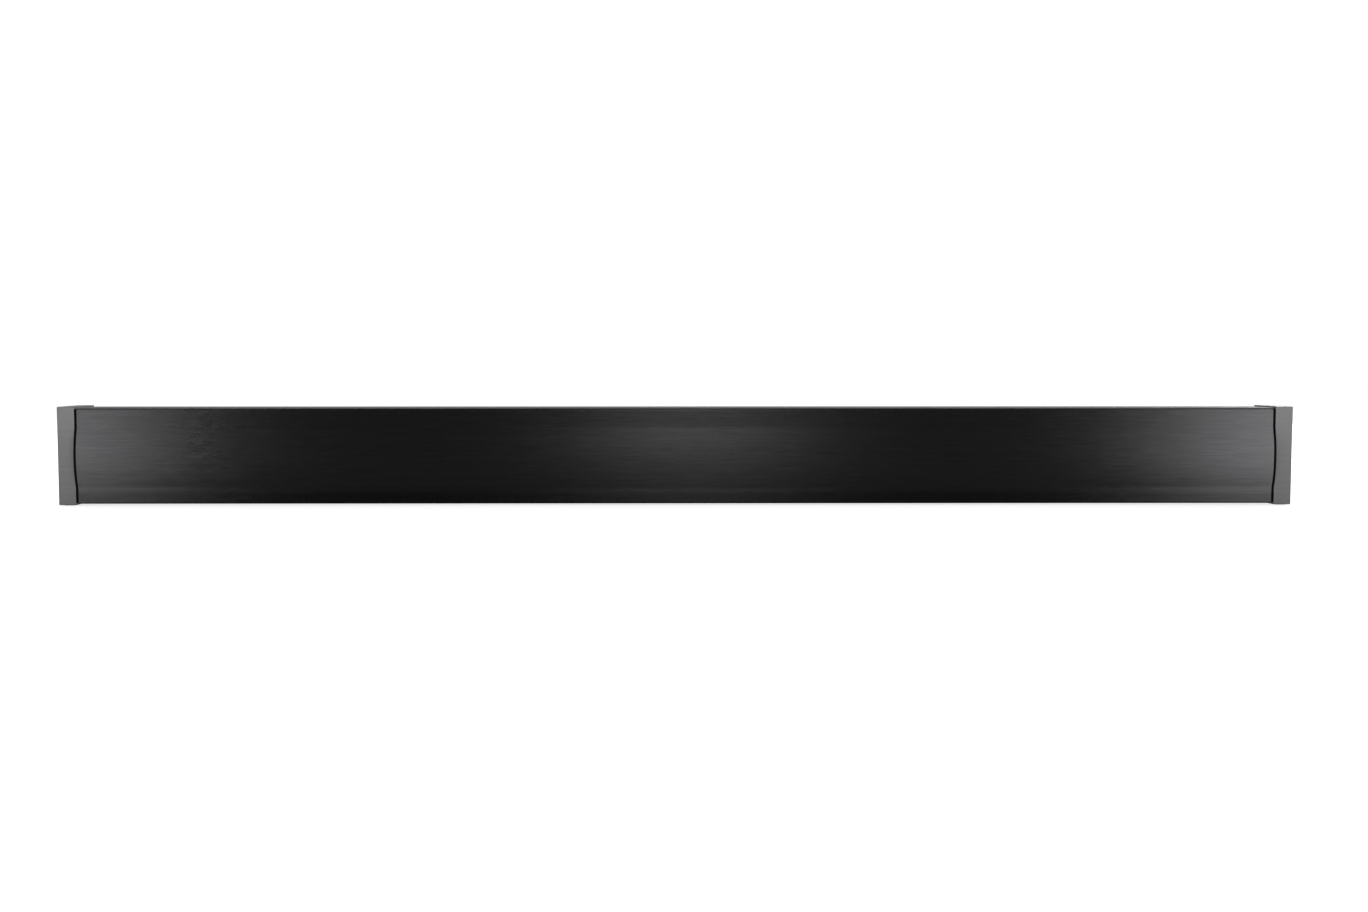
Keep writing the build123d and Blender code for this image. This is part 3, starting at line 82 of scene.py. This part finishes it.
# ---- the finish of the grille and the caps ----
PERFORATION_PITCH = 2.0 * MM
HOLE_EDGE = (0.22, 0.34)  # shares of the pitch, from a hole's middle, between which the metal begins
FINE_STREAKS = (40, 1500, 1)  # per metre, along the bar and across it
BROAD_STREAKS = (5, 260, 1)
GRILLE_METAL = (0.05, 0.05, 0.0515)
HOLE_BLACK = (0.002, 0.002, 0.002)
HOLE_SHADE = 0.55  # share of the metal's colour that is left in a hole
# share of the metal's colour left in the band under the bulge: painted shade
LOWER_BAND_PAINTED_SHADE = 0.55
STREAK_DEPTH = 0.06 * MM
EVENED_SHARE = 0.62
CAP_LIGHT = (0.18, 0.18, 0.184)
CAP_DARK = (0.13, 0.13, 0.133)
CAP_GRAIN = (14, 700, 1300)  # per metre, along X, Y and Z

# ---- circuit boards ----
BOARD_THICKNESS = 1.6 * MM
MASK_DARK = (0.008, 0.075, 0.03)
MASK_LIGHT = (0.02, 0.14, 0.06)
FACE_BLUR = 0.05 * MM  # over which the mask gives way to the parts that stand on it


# ---------------------------------------------------------------- node helpers
def new_material(name):
    """A material with one Principled shader, and its node tree."""
    material = bpy.data.materials.new(name)
    material.use_nodes = True
    tree = material.node_tree
    return material, tree, tree.nodes["Principled BSDF"]


def put(tree, kind, settings=(), **sockets):
    """Add a node. Sockets are given by name, with _ for a space, or as in0, in1 and so on by number,
    each as a value or as another node's output."""
    node = tree.nodes.new("ShaderNode" + kind)
    for key, value in dict(settings).items():
        setattr(node, key, value)
    for key, value in sockets.items():
        numbered = key.startswith("in") and key[2:].isdigit()
        socket = node.inputs[int(key[2:]) if numbered else key.replace("_", " ")]
        if isinstance(value, bpy.types.NodeSocket):
            tree.links.new(value, socket)
        else:
            socket.default_value = value
    return node


def math_node(tree, operation, a, b=0.5):
    """The output of one Math node."""
    return put(tree, "Math", {"operation": operation}, in0=a, in1=b).outputs[0]


def ramp(tree, factor, low, high, dark=0.0, light=1.0):
    """Remap a factor from low..high to dark..light, clamped."""
    node = put(
        tree, "MapRange", {}, Value=factor, From_Min=low, From_Max=high, To_Min=dark, To_Max=light
    )
    return node.outputs[0]


def mix_colour(tree, factor, a, b, blend="MIX"):
    """The output of a colour mix."""
    node = put(tree, "MixRGB", {"blend_type": blend}, Fac=factor)
    for value, index in ((a, 1), (b, 2)):
        if isinstance(value, bpy.types.NodeSocket):
            tree.links.new(value, node.inputs[index])
        else:
            node.inputs[index].default_value = (*value, 1)
    return node.outputs[0]


def shade_by(tree, factor, colour):
    """A colour multiplied by a factor."""
    grey = put(tree, "CombineXYZ", {}, X=factor, Y=factor, Z=factor).outputs[0]
    return mix_colour(tree, 1.0, colour, grey, "MULTIPLY")


def object_place(tree, stretch=(1, 1, 1)):
    """Object coordinates in metres, stretched."""
    place = put(tree, "TexCoord").outputs["Object"]
    return put(tree, "Mapping", {}, Vector=place, Scale=stretch).outputs[0]


def noise(tree, place, scale, detail=2.0, rough=0.5):
    """The value of a noise texture."""
    node = put(tree, "TexNoise", {}, Vector=place, Scale=scale, Detail=detail, Roughness=rough)
    return node.outputs[0]


def stretched_noise(tree, place, stretch, detail, rough):
    """The value of a noise texture that is stretched by a count per metre along each axis."""
    stretched = put(tree, "Mapping", {}, Vector=place, Scale=stretch).outputs[0]
    return noise(tree, stretched, 1.0, detail, rough)


def bump(tree, shader, height, distance, strength=1.0, normal=None):
    """Bump a shader by a height of 0..1 times a distance in metres."""
    node = put(tree, "Bump", {}, Height=height, Distance=distance, Strength=strength)
    if normal:
        tree.links.new(normal, node.inputs["Normal"])
    tree.links.new(node.outputs[0], shader.inputs["Normal"])


def feed(tree, value, shader, socket):
    """Link an output to one of the shader's sockets."""
    tree.links.new(value, shader.inputs[socket])


# ---------------------------------------------------------------- materials
def evened_normal(tree, share):
    """The normal, turned towards the front where it faces the front anyway: the edges of the holes
    scatter light up and down, which evens out the shading over the bulge."""
    normal = put(tree, "NewGeometry").outputs["Normal"]
    facing = put(tree, "SeparateXYZ", {}, Vector=normal).outputs[1]
    factor = ramp(tree, facing, -0.7, -0.85, 0, share)
    mixed = put(tree, "Mix", {"data_type": "VECTOR"})
    tree.links.new(factor, mixed.inputs["Factor"])
    tree.links.new(normal, mixed.inputs[4])
    mixed.inputs[5].default_value = (0, -1, 0)
    tidy = put(tree, "VectorMath", {"operation": "NORMALIZE"}, in0=mixed.outputs[1])
    return tidy.outputs[0]


def perforation_web(tree, u, v):
    """1 on the metal and 0 in the holes: two square lattices, one in the middle of the other, make
    the 45-degree stagger."""
    distances = []
    for shift in (0.0, 0.5):
        squares = []
        for axis in (u, v):
            cell = math_node(tree, "ADD", math_node(tree, "DIVIDE", axis, PERFORATION_PITCH), shift)
            offset = math_node(tree, "SUBTRACT", math_node(tree, "FRACT", cell), 0.5)
            squares.append(math_node(tree, "MULTIPLY", offset, offset))
        distances.append(math_node(tree, "SQRT", math_node(tree, "ADD", *squares)))
    return ramp(tree, math_node(tree, "MINIMUM", *distances), *HOLE_EDGE)


def perforated_metal():
    """Black brushed sheet with fine staggered perforations; its UV map is in metres."""
    material, tree, shader = new_material("grille_metal")
    place = put(tree, "UVMap", {"uv_map": "sheet"}).outputs[0]
    split = put(tree, "SeparateXYZ", {}, Vector=place)
    u, v = split.outputs[0], split.outputs[1]
    web = perforation_web(tree, u, v)
    streak = stretched_noise(tree, place, FINE_STREAKS, 3.0, 0.6)
    broad = stretched_noise(tree, place, BROAD_STREAKS, 2.0, 0.5)
    fine_shade = ramp(tree, streak, 0.3, 0.7, 0.85, 1.15)
    shade = math_node(tree, "ADD", fine_shade, ramp(tree, broad, 0.3, 0.7, -0.05, 0.05))
    metal = shade_by(tree, shade, GRILLE_METAL)
    # painted shade: the band under the bulge is darkened
    band_start, band_end = LOWER_BAND_START - 4 * MM, LOWER_BAND_START + 3 * MM
    metal = shade_by(tree, ramp(tree, v, band_start, band_end, 1.0, LOWER_BAND_PAINTED_SHADE), metal)
    solid = ramp(tree, web, 0, 1, HOLE_SHADE, 1)
    feed(tree, mix_colour(tree, solid, HOLE_BLACK, metal), shader, "Base Color")
    shader.inputs["Metallic"].default_value = 1.0
    feed(tree, ramp(tree, web, 0, 1, 0.35, 0.29), shader, "Roughness")
    shader.inputs["Specular IOR Level"].default_value = 0.0
    shader.inputs["Anisotropic"].default_value = 1.0
    shader.inputs["Anisotropic Rotation"].default_value = 0.25
    tangent = put(tree, "Tangent", {"direction_type": "UV_MAP", "uv_map": "sheet"}).outputs[0]
    feed(tree, tangent, shader, "Tangent")
    height = math_node(tree, "ADD", streak, math_node(tree, "MULTIPLY", web, 0.02))
    bump(tree, shader, height, STREAK_DEPTH, 1.0, evened_normal(tree, EVENED_SHARE))
    return material


def brushed_cap():
    """Satin grey with a faint grain along X."""
    material, tree, shader = new_material("cap_plastic")
    grain = noise(tree, object_place(tree, CAP_GRAIN), 1.0, 3.0, 0.6)
    cloud = noise(tree, object_place(tree), 18, 2.0)
    base = mix_colour(tree, ramp(tree, grain, 0.25, 0.75), CAP_DARK, CAP_LIGHT)
    base = mix_colour(tree, ramp(tree, cloud, 0.35, 0.65, 0, 0.25), base, CAP_DARK)
    height = put(tree, "SeparateXYZ", {}, Vector=object_place(tree)).outputs[2]
    # painted shade: a little darker towards the foot and a little lighter at the top
    base = shade_by(tree, ramp(tree, height, 0, CAP_HIGH.z, 0.72, 1.08), base)
    feed(tree, base, shader, "Base Color")
    shader.inputs["Metallic"].default_value = 0.35
    feed(tree, ramp(tree, grain, 0.3, 0.7, 0.36, 0.48), shader, "Roughness")
    bump(tree, shader, grain, 0.02 * MM, 0.5)
    return material


def moulded_plastic(name, colour, grain_scale, grain_depth, rough, variation=0.06, specular=0.5):
    """Moulded plastic with a fine spark-eroded grain and slight clouding."""
    material, tree, shader = new_material(name)
    shader.inputs["Specular IOR Level"].default_value = specular
    place = object_place(tree)
    grain = noise(tree, place, grain_scale, 3.0, 0.65)
    cells = put(tree, "TexVoronoi", {}, Vector=place, Scale=grain_scale * 0.9).outputs["Distance"]
    cloud = noise(tree, place, 25, 3.0)
    lighter = tuple(c * 1.35 for c in colour)
    feed(tree, mix_colour(tree, ramp(tree, cloud, 0.35, 0.65), colour, lighter), shader, "Base Color")
    feed(tree, ramp(tree, cloud, 0.3, 0.7, rough - variation, rough + variation), shader, "Roughness")
    height = math_node(tree, "ADD", grain, cells)
    bump(tree, shader, height, grain_depth, 0.6)
    return material


def woven_cloth(name, dark, light, thread):
    """Plain weave of two thread directions, thread pitch in metres."""
    material, tree, shader = new_material(name)
    split = put(tree, "SeparateXYZ", {}, Vector=object_place(tree))
    waves = []
    for axis in (split.outputs[0], split.outputs[2]):
        turn = math_node(tree, "MULTIPLY", axis, 2 * math.pi / thread)
        waves.append(math_node(tree, "SINE", turn))
    weave = math_node(tree, "MULTIPLY", *waves)
    fibre = noise(tree, object_place(tree), 2500, 2.0)
    factor = math_node(tree, "MULTIPLY", ramp(tree, weave, -1, 1), ramp(tree, fibre, 0.3, 0.7, 0.6, 1))
    feed(tree, mix_colour(tree, factor, dark, light), shader, "Base Color")
    shader.inputs["Roughness"].default_value = 0.9
    shader.inputs["Sheen Weight"].default_value = 0.25
    bump(tree, shader, weave, 0.1 * MM, 0.6)
    return material


def worked_metal(name, colour, rough, grain=(1, 1, 1), metallic=1.0):
    """Metal with fine tool marks along one direction and a little uneven tarnish."""
    material, tree, shader = new_material(name)
    marks = noise(tree, object_place(tree, grain), 900, 3.0, 0.6)
    tarnish = noise(tree, object_place(tree), 60, 3.0)
    darker = tuple(c * 0.72 for c in colour)
    feed(tree, mix_colour(tree, ramp(tree, tarnish, 0.35, 0.7), colour, darker), shader, "Base Color")
    shader.inputs["Metallic"].default_value = metallic
    feed(tree, ramp(tree, marks, 0.3, 0.7, rough - 0.08, rough + 0.1), shader, "Roughness")
    bump(tree, shader, marks, 0.03 * MM, 0.4)
    return material


def pressed_paper():
    """Dark pulp cone with fibres."""
    material, tree, shader = new_material("cone_paper")
    fibre = noise(tree, object_place(tree, (1, 1, 2.5)), 700, 4.0, 0.7)
    dark, light = (0.018, 0.018, 0.019), (0.05, 0.05, 0.052)
    feed(tree, mix_colour(tree, ramp(tree, fibre, 0.35, 0.7), dark, light), shader, "Base Color")
    shader.inputs["Roughness"].default_value = 0.85
    bump(tree, shader, fibre, 0.12 * MM, 0.6)
    return material


def circuit_board(face, toward_x=False):
    """Green solder mask with traces; parts that stand past the board's face, towards -Y or +X, are
    dark."""
    material, tree, shader = new_material("circuit_board" + ("_keys" if toward_x else ""))
    place = object_place(tree)
    split = put(tree, "SeparateXYZ", {}, Vector=place)
    upright = put(tree, "Mapping", {}, Vector=place, Rotation=(math.pi / 2, 0, 0)).outputs[0]
    traces = put(tree, "TexBrick", {"offset": 0.37}, Vector=upright, Scale=90, Mortar_Size=0.06)
    mask = mix_colour(tree, traces.outputs["Fac"], MASK_DARK, MASK_LIGHT)
    if toward_x:
        standing = ramp(tree, split.outputs[0], face - FACE_BLUR, face + FACE_BLUR)
    else:
        standing = ramp(tree, split.outputs[1], face + FACE_BLUR, face - FACE_BLUR)
    grain = noise(tree, place, 900, 2.0)
    parts = mix_colour(tree, ramp(tree, grain, 0.4, 0.6), (0.012, 0.012, 0.013), (0.03, 0.03, 0.032))
    feed(tree, mix_colour(tree, standing, mask, parts), shader, "Base Color")
    feed(tree, ramp(tree, grain, 0.3, 0.7, 0.3, 0.45), shader, "Roughness")
    bump(tree, shader, traces.outputs["Fac"], 0.05 * MM, 0.4)
    return material


def rubber(name, colour):
    """Matt rubber with a dusty fine grain."""
    material, tree, shader = new_material(name)
    grain = noise(tree, object_place(tree), 1600, 3.0, 0.7)
    lighter = tuple(c * 1.8 for c in colour)
    feed(tree, mix_colour(tree, ramp(tree, grain, 0.4, 0.7), colour, lighter), shader, "Base Color")
    feed(tree, ramp(tree, grain, 0.3, 0.7, 0.7, 0.85), shader, "Roughness")
    bump(tree, shader, grain, 0.05 * MM, 0.6)
    return material


# ---------------------------------------------------------------- the grille
def grille_path(inset):
    """(y, z) points of the grille's section, shrunk by inset, from the rear of its top flange over the
    front to the rear of its lower flange."""
    top, foot = GRILLE_HIGH.z - inset, GRILLE_LOW.z + inset
    rear = GRILLE_HIGH.y
    cap_height = CAP_HIGH.z - CAP_LOW.z
    lean = math.atan2(FRONT_LEAN, cap_height)
    middle_z = CAP_LOW.z + LOWER_BAND + BULGE_CHORD / 2
    middle = Vector((CAP_LOW.y + FRONT_LEAN * (CAP_HIGH.z - middle_z) / cap_height, middle_z))
    up = Vector((-math.sin(lean), math.cos(lean)))
    out = Vector((-math.cos(lean), -math.sin(lean)))
    bulge = BULGE_CHORD**2 / (8 * BULGE_PROUD) + BULGE_PROUD / 2
    depth = bulge - BULGE_PROUD
    kink_t = math.sqrt((bulge + KINK_RADIUS) ** 2 - (depth + KINK_RADIUS) ** 2)
    kink_angle = math.atan2(kink_t, depth + KINK_RADIUS)
    points = []
    # upper corner: a round between the top face and the leaning front
    top_t = (top - middle.y + inset * math.sin(lean)) / math.cos(lean)
    radius = TOP_RADIUS - inset
    turn = math.pi / 2 + lean
    reach = radius * math.tan(turn / 2)
    corner = middle + up * ((top - middle.y - out.y * -inset) / up.y) + out * -inset
    centre = Vector((corner.x + reach, top - radius))
    points.append(Vector((rear, top)))
    steps = ROUND_STEPS["top"]
    for i in range(steps + 1):
        angle = math.pi / 2 + turn * i / steps
        points.append(centre + radius * Vector((math.cos(angle), math.sin(angle))))
    # upper kink, bulge, lower kink
    kink = KINK_RADIUS + inset
    steps = ROUND_STEPS["kink"]
    for i in range(steps + 1):
        angle = kink_angle * i / steps
        t, n = kink_t - kink * math.sin(angle), KINK_RADIUS - kink * math.cos(angle)
        points.append(middle + up * t + out * n)
    steps = ROUND_STEPS["bulge"]
    for i in range(1, steps):
        angle = kink_angle * (1 - 2 * i / steps)
        t, n = (bulge - inset) * math.sin(angle), (bulge - inset) * math.cos(angle) - depth
        points.append(middle + up * t + out * n)
    steps = ROUND_STEPS["kink"]
    for i in range(steps + 1):
        angle = kink_angle * (1 - i / steps)
        t, n = -kink_t + kink * math.sin(angle), KINK_RADIUS - kink * math.cos(angle)
        points.append(middle + up * t + out * n)
    # lower corner and flange
    radius = FOOT_RADIUS - inset
    turn = math.pi / 2 - lean
    reach = radius * math.tan(turn / 2)
    corner = middle + up * ((foot - middle.y - out.y * -inset) / up.y) + out * -inset
    centre = Vector((corner.x + reach, foot + radius))
    steps = ROUND_STEPS["foot"]
    for i in range(steps + 1):
        angle = math.pi + lean + turn * i / steps
        points.append(centre + radius * Vector((math.cos(angle), math.sin(angle))))
    points.append(Vector((rear, foot)))
    return points


def build_grille():
    """The perforated sheet: an outer and an inner skin joined round the rim, with UVs in metres."""
    outer, inner = grille_path(0), grille_path(GRILLE_SHEET)
    bm = bmesh.new()
    layer = bm.loops.layers.uv.new("sheet")
    columns = GRILLE_COLUMNS
    width = GRILLE_HIGH.x - GRILLE_LOW.x
    xs = [GRILLE_LOW.x + width * i / columns for i in range(columns + 1)]
    lengths = [0.0]
    for a, b in zip(outer, outer[1:]):
        lengths.append(lengths[-1] + (b - a).length)
    skins = []
    for path in (outer, inner):
        skins.append([[bm.verts.new((x, p.x, p.y)) for p in path] for x in xs])

    def face(corners, flat=False):
        """A face from (vertex, column, place along the section) corners."""
        made = bm.faces.new([c[0] for c in corners])
        made.smooth = not flat
        for loop, (_, i, k) in zip(made.loops, corners):
            loop[layer].uv = (xs[i], lengths[k])

    last = len(outer) - 1
    for side, skin in enumerate(skins):
        for i in range(columns):
            for k in range(last):
                corners = ((i, k), (i, k + 1), (i + 1, k + 1), (i + 1, k))
                quad = [(skin[a][b], a, b) for a, b in corners]
                face(quad if side == 0 else quad[::-1])
    # the rim joins the skins along the flanges' rear edges and at both ends
    for i in range(columns):
        for k, flip in ((0, False), (last, True)):
            quad = [(skins[s][a][k], a, k) for s, a in ((0, i), (0, i + 1), (1, i + 1), (1, i))]
            face(quad[::-1] if flip else quad, True)
    for k in range(last):
        for i, flip in ((0, True), (columns, False)):
            quad = [(skins[s][i][b], i, b) for s, b in ((0, k), (0, k + 1), (1, k + 1), (1, k))]
            face(quad[::-1] if flip else quad, True)
    bmesh.ops.recalc_face_normals(bm, faces=bm.faces)
    for edge in bm.edges:
        edge.smooth = all(f.smooth for f in edge.link_faces)
    mesh = bpy.data.meshes.new("grille_sheet")
    bm.to_mesh(mesh)
    bm.free()
    piece = bpy.data.objects.new("grille_sheet", mesh)
    bpy.context.scene.collection.objects.link(piece)
    piece.data.materials.append(perforated_metal())
    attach(piece, "chassis")
    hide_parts("front_grille")


# ---------------------------------------------------------------- materials on the CAD nodes
def paint(material, *names):
    """Give CAD nodes one material."""
    for name in names:
        mesh = nodes[name].data
        mesh.materials.clear()
        mesh.materials.append(material)


def names_with(*endings):
    """CAD nodes whose names end in one of these."""
    return [name for name in nodes if name.endswith(endings)]


def paint_plastics():
    """Caps, end plates, cabinet, buttons, ports, faceplates and the plastic jacks."""
    paint(brushed_cap(), "end_cap_left", "end_cap_right")
    black = (0.0015, 0.0015, 0.0015)
    seam = moulded_plastic("seam_plastic", black, 1800, 0.02 * MM, 0.7, specular=0.05)
    paint(seam, "end_plate_left", "end_plate_right")
    gloss = moulded_plastic("black_gloss_plastic", (0.010, 0.010, 0.011), 1200, 0.01 * MM, 0.28)
    paint(gloss, "bass_port_left", "bass_port_right", *names_with("_faceplate"))
    shell = moulded_plastic("black_plastic", (0.014, 0.014, 0.015), 1000, 0.14 * MM, 0.52, 0.02)
    paint(shell, "rear_cabinet", "front_baffle")
    button = moulded_plastic("button_plastic", (0.02, 0.02, 0.021), 2500, 0.02 * MM, 0.45)
    paint(button, *names_with("_button"))
    jack = moulded_plastic("jack_plastic", (0.012, 0.012, 0.012), 2000, 0.02 * MM, 0.4)
    paint(jack, "optical_jack", "ac_inlet")


def paint_soft_pieces():
    """Rubber, wires, cloth and the paper cones."""
    paint(rubber("rubber", (0.016, 0.016, 0.016)), "rubber_feet", *names_with("_surround"))
    paint(rubber("wire_jacket", (0.03, 0.03, 0.03)), "speaker_wires")
    scrim = woven_cloth("grille_cloth", (0.004, 0.004, 0.004), (0.012, 0.012, 0.012), 0.6 * MM)
    paint(scrim, "grille_scrim")
    spider = woven_cloth("spider_cloth", (0.32, 0.2, 0.06), (0.55, 0.38, 0.14), 0.9 * MM)
    paint(spider, *names_with("_spider"))
    dome = woven_cloth("dome_cloth", (0.02, 0.018, 0.016), (0.05, 0.045, 0.04), 0.4 * MM)
    paint(dome, *names_with("_dome"))
    paint(pressed_paper(), *names_with("_cone"))


def paint_metals():
    """Baskets, motors, screws, heat sink, plates and the metal jacks."""
    basket = worked_metal("basket_steel", (0.03, 0.03, 0.032), 0.55, metallic=0.3)
    paint(basket, *names_with("_basket"))
    paint(worked_metal("motor_steel", (0.5, 0.5, 0.51), 0.35), *names_with("_motor"))
    paint(worked_metal("screw_steel", (0.1, 0.1, 0.105), 0.38), *names_with("_screws"))
    sink = worked_metal("heat_sink_aluminium", (0.62, 0.62, 0.64), 0.35, (1, 1, 0.05))
    paint(sink, "heat_sink")
    paint(worked_metal("plated_steel", (0.56, 0.56, 0.57), 0.32), "keyhole_plates")
    plate = worked_metal("terminal_steel", (0.03, 0.03, 0.032), 0.5, metallic=0.4)
    paint(plate, "terminal_plate")
    paint(worked_metal("jack_nickel", (0.66, 0.63, 0.58), 0.22), "hdmi_jack", "aux_jack")


def paint_electronics():
    """Transformer, capacitors and boards."""
    ferrite = moulded_plastic("transformer_ferrite", (0.035, 0.035, 0.038), 900, 0.05 * MM, 0.6)
    paint(ferrite, "power_transformer")
    sleeve = moulded_plastic("capacitor_sleeve", (0.012, 0.02, 0.06), 300, 0.01 * MM, 0.3)
    paint(sleeve, "filter_capacitors")
    board_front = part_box("main_board")[1].y - BOARD_THICKNESS
    paint(circuit_board(board_front), "main_board", "power_board", "indicator_board")
    paint(circuit_board(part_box("key_board")[0].x + BOARD_THICKNESS, True), "key_board")


def paint_all():
    """Every carried-over CAD node gets its material."""
    paint_plastics()
    paint_soft_pieces()
    paint_metals()
    paint_electronics()


# ---------------------------------------------------------------- copies of the drivers' rings
# radius where each ring is held, radius from which it moves with the cone, and its slot
FLEXING = {
    "surround": (24.6 * MM, 21 * MM, "rubber"),
    "spider": (17.5 * MM, 10.5 * MM, "spider_cloth"),
}


def build_flexing_ring(node, moving, held, driven, slot):
    """A copy of a ring in the ring's place; the ring itself is hidden."""
    mesh = nodes[node].data.copy()
    piece = bpy.data.objects.new(node + "_flexing", mesh)
    bpy.context.scene.collection.objects.link(piece)
    low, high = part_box(node)
    axis = (low + high) / 2
    places = [vertex.co.copy() for vertex in mesh.vertices]
    for vertex, place in zip(mesh.vertices, places):
        vertex.co = (math.hypot(place.x - axis.x, place.z - axis.z), 0, 0)
    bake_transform(piece)
    for vertex, place in zip(mesh.vertices, places):
        vertex.co = place
    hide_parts(node)


def build_flexing_rings():
    """Each woofer's surround and spider."""
    for ring, settings in FLEXING.items():
        for node in names_with("_" + ring):
            driver = node[: -len(ring) - 1]
            build_flexing_ring(node, driver + "_moving", *settings)


# ---------------------------------------------------------------- camera, light, stage
FOCAL_MM = 67.2
SENSOR_MM = 36
CAMERA_X = -20 * MM
CAMERA_DISTANCE = 1.941  # from the front of the caps
CAMERA_ABOVE_TOP = 35 * MM
AIM_X = 5.5 * MM
AIM_ABOVE_MIDDLE = 0.2 * MM
CLIP_RANGE = (0.05, 100)
BAR_MIDDLE_Z = 0.04
# place, aim, width and height, power
SOFTBOXES = {
    "left_softbox": ((-0.98, -1.95, 0.2), (-0.45, 0, BAR_MIDDLE_Z), (0.3, 1.7), 14),
    "right_softbox": ((1.02, -1.95, 0.2), (0.45, 0, BAR_MIDDLE_Z), (0.34, 1.7), 20),
    "middle_softbox": ((0.045, -1.95, 0.62), (0.012, 0, BAR_MIDDLE_Z), (0.12, 1.1), 3.3),
    "back_softbox": ((0, 1.6, 1.8), (0, 0, BAR_MIDDLE_Z), (2.6, 0.9), 20),
    "rear_side_softbox": ((1.5, 2.1, 0.75), (0.1, 0, BAR_MIDDLE_Z), (1.0, 0.8), 26),
}
WORLD_LEVEL = 0.2
FLOOR_HALF = 12
FLOOR_GLOW = 0.75
FLOOR_ALBEDO = 0.8
SURROUND_RADIUS = 14
SURROUND_GLOW = 1.05


def place_camera():
    """A little above the bar and left of its middle, looking slightly down at the middle."""
    data = bpy.data.cameras.new("camera")
    data.lens = FOCAL_MM
    data.sensor_width = SENSOR_MM
    data.clip_start, data.clip_end = CLIP_RANGE
    camera = bpy.data.objects.new("camera", data)
    bpy.context.scene.collection.objects.link(camera)
    low, high = cad_box
    middle = (low + high) / 2
    camera.location = (CAMERA_X, CAP_LOW.y - CAMERA_DISTANCE, high.z + CAMERA_ABOVE_TOP)
    aim = Vector((AIM_X, CAP_LOW.y, middle.z + AIM_ABOVE_MIDDLE))
    camera.rotation_euler = (aim - camera.location).to_track_quat("-Z", "Y").to_euler()
    bpy.context.scene.camera = camera


def area_light(name, place, aim, size, power):
    """A rectangular softbox."""
    data = bpy.data.lights.new(name, "AREA")
    data.shape = "RECTANGLE"
    data.size, data.size_y = size
    data.energy = power
    light = bpy.data.objects.new(name, data)
    bpy.context.scene.collection.objects.link(light)
    light.location = place
    light.rotation_euler = (Vector(aim) - Vector(place)).to_track_quat("-Z", "Y").to_euler()
    light.visible_camera = False


def light_scene():
    """Tall softboxes beside the camera for the bar's ends, a narrow one above it for the middle, and
    two behind the bar."""
    for name, settings in SOFTBOXES.items():
        area_light(name, *settings)


def light_world():
    """Nearly dark in front and below, bright above and behind."""
    world = bpy.data.worlds.new("studio")
    bpy.context.scene.world = world
    world.use_nodes = True
    tree = world.node_tree
    background = tree.nodes["Background"]
    split = put(tree, "SeparateXYZ", {}, Vector=put(tree, "TexCoord").outputs["Generated"])
    behind = ramp(tree, split.outputs[1], 0.0, 0.6, 0.0, 0.5)
    above = ramp(tree, split.outputs[2], 0.15, 0.6)
    level = math_node(tree, "ADD", math_node(tree, "MULTIPLY", behind, above), WORLD_LEVEL)
    tree.links.new(level, background.inputs["Strength"])
    background.inputs["Color"].default_value = (1, 1, 1, 1)


def glowing(name, strength, albedo):
    """A matt surface with some white light of its own."""
    material, _, shader = new_material(name)
    shader.inputs["Base Color"].default_value = (albedo, albedo, albedo, 1)
    shader.inputs["Roughness"].default_value = 0.9
    shader.inputs["Specular IOR Level"].default_value = 0.0
    shader.inputs["Emission Color"].default_value = (1, 1, 1, 1)
    shader.inputs["Emission Strength"].default_value = strength
    return material


def build_stage():
    """A pale floor, left out of reflections, and a white surround that only the camera sees."""
    bm = bmesh.new()
    bmesh.ops.create_grid(bm, x_segments=8, y_segments=8, size=FLOOR_HALF)
    mesh = bpy.data.meshes.new("floor")
    bm.to_mesh(mesh)
    bm.free()
    floor = bpy.data.objects.new("floor", mesh)
    floor.data.materials.append(glowing("floor_paint", FLOOR_GLOW, FLOOR_ALBEDO))
    floor.visible_glossy = False
    bm = bmesh.new()
    bmesh.ops.create_icosphere(bm, subdivisions=4, radius=SURROUND_RADIUS)
    mesh = bpy.data.meshes.new("surround")
    bm.to_mesh(mesh)
    bm.free()
    surround = bpy.data.objects.new("surround", mesh)
    surround.data.materials.append(glowing("surround_paint", SURROUND_GLOW, 0))
    for flag in ("visible_diffuse", "visible_glossy", "visible_shadow", "visible_transmission"):
        setattr(surround, flag, False)
    for piece in (floor, surround):
        bpy.context.scene.collection.objects.link(piece)


place_camera()
light_scene()
light_world()
build_stage()
build_grille()
paint_all()
build_flexing_rings()
bpy.context.scene.view_settings.view_transform = "Standard"
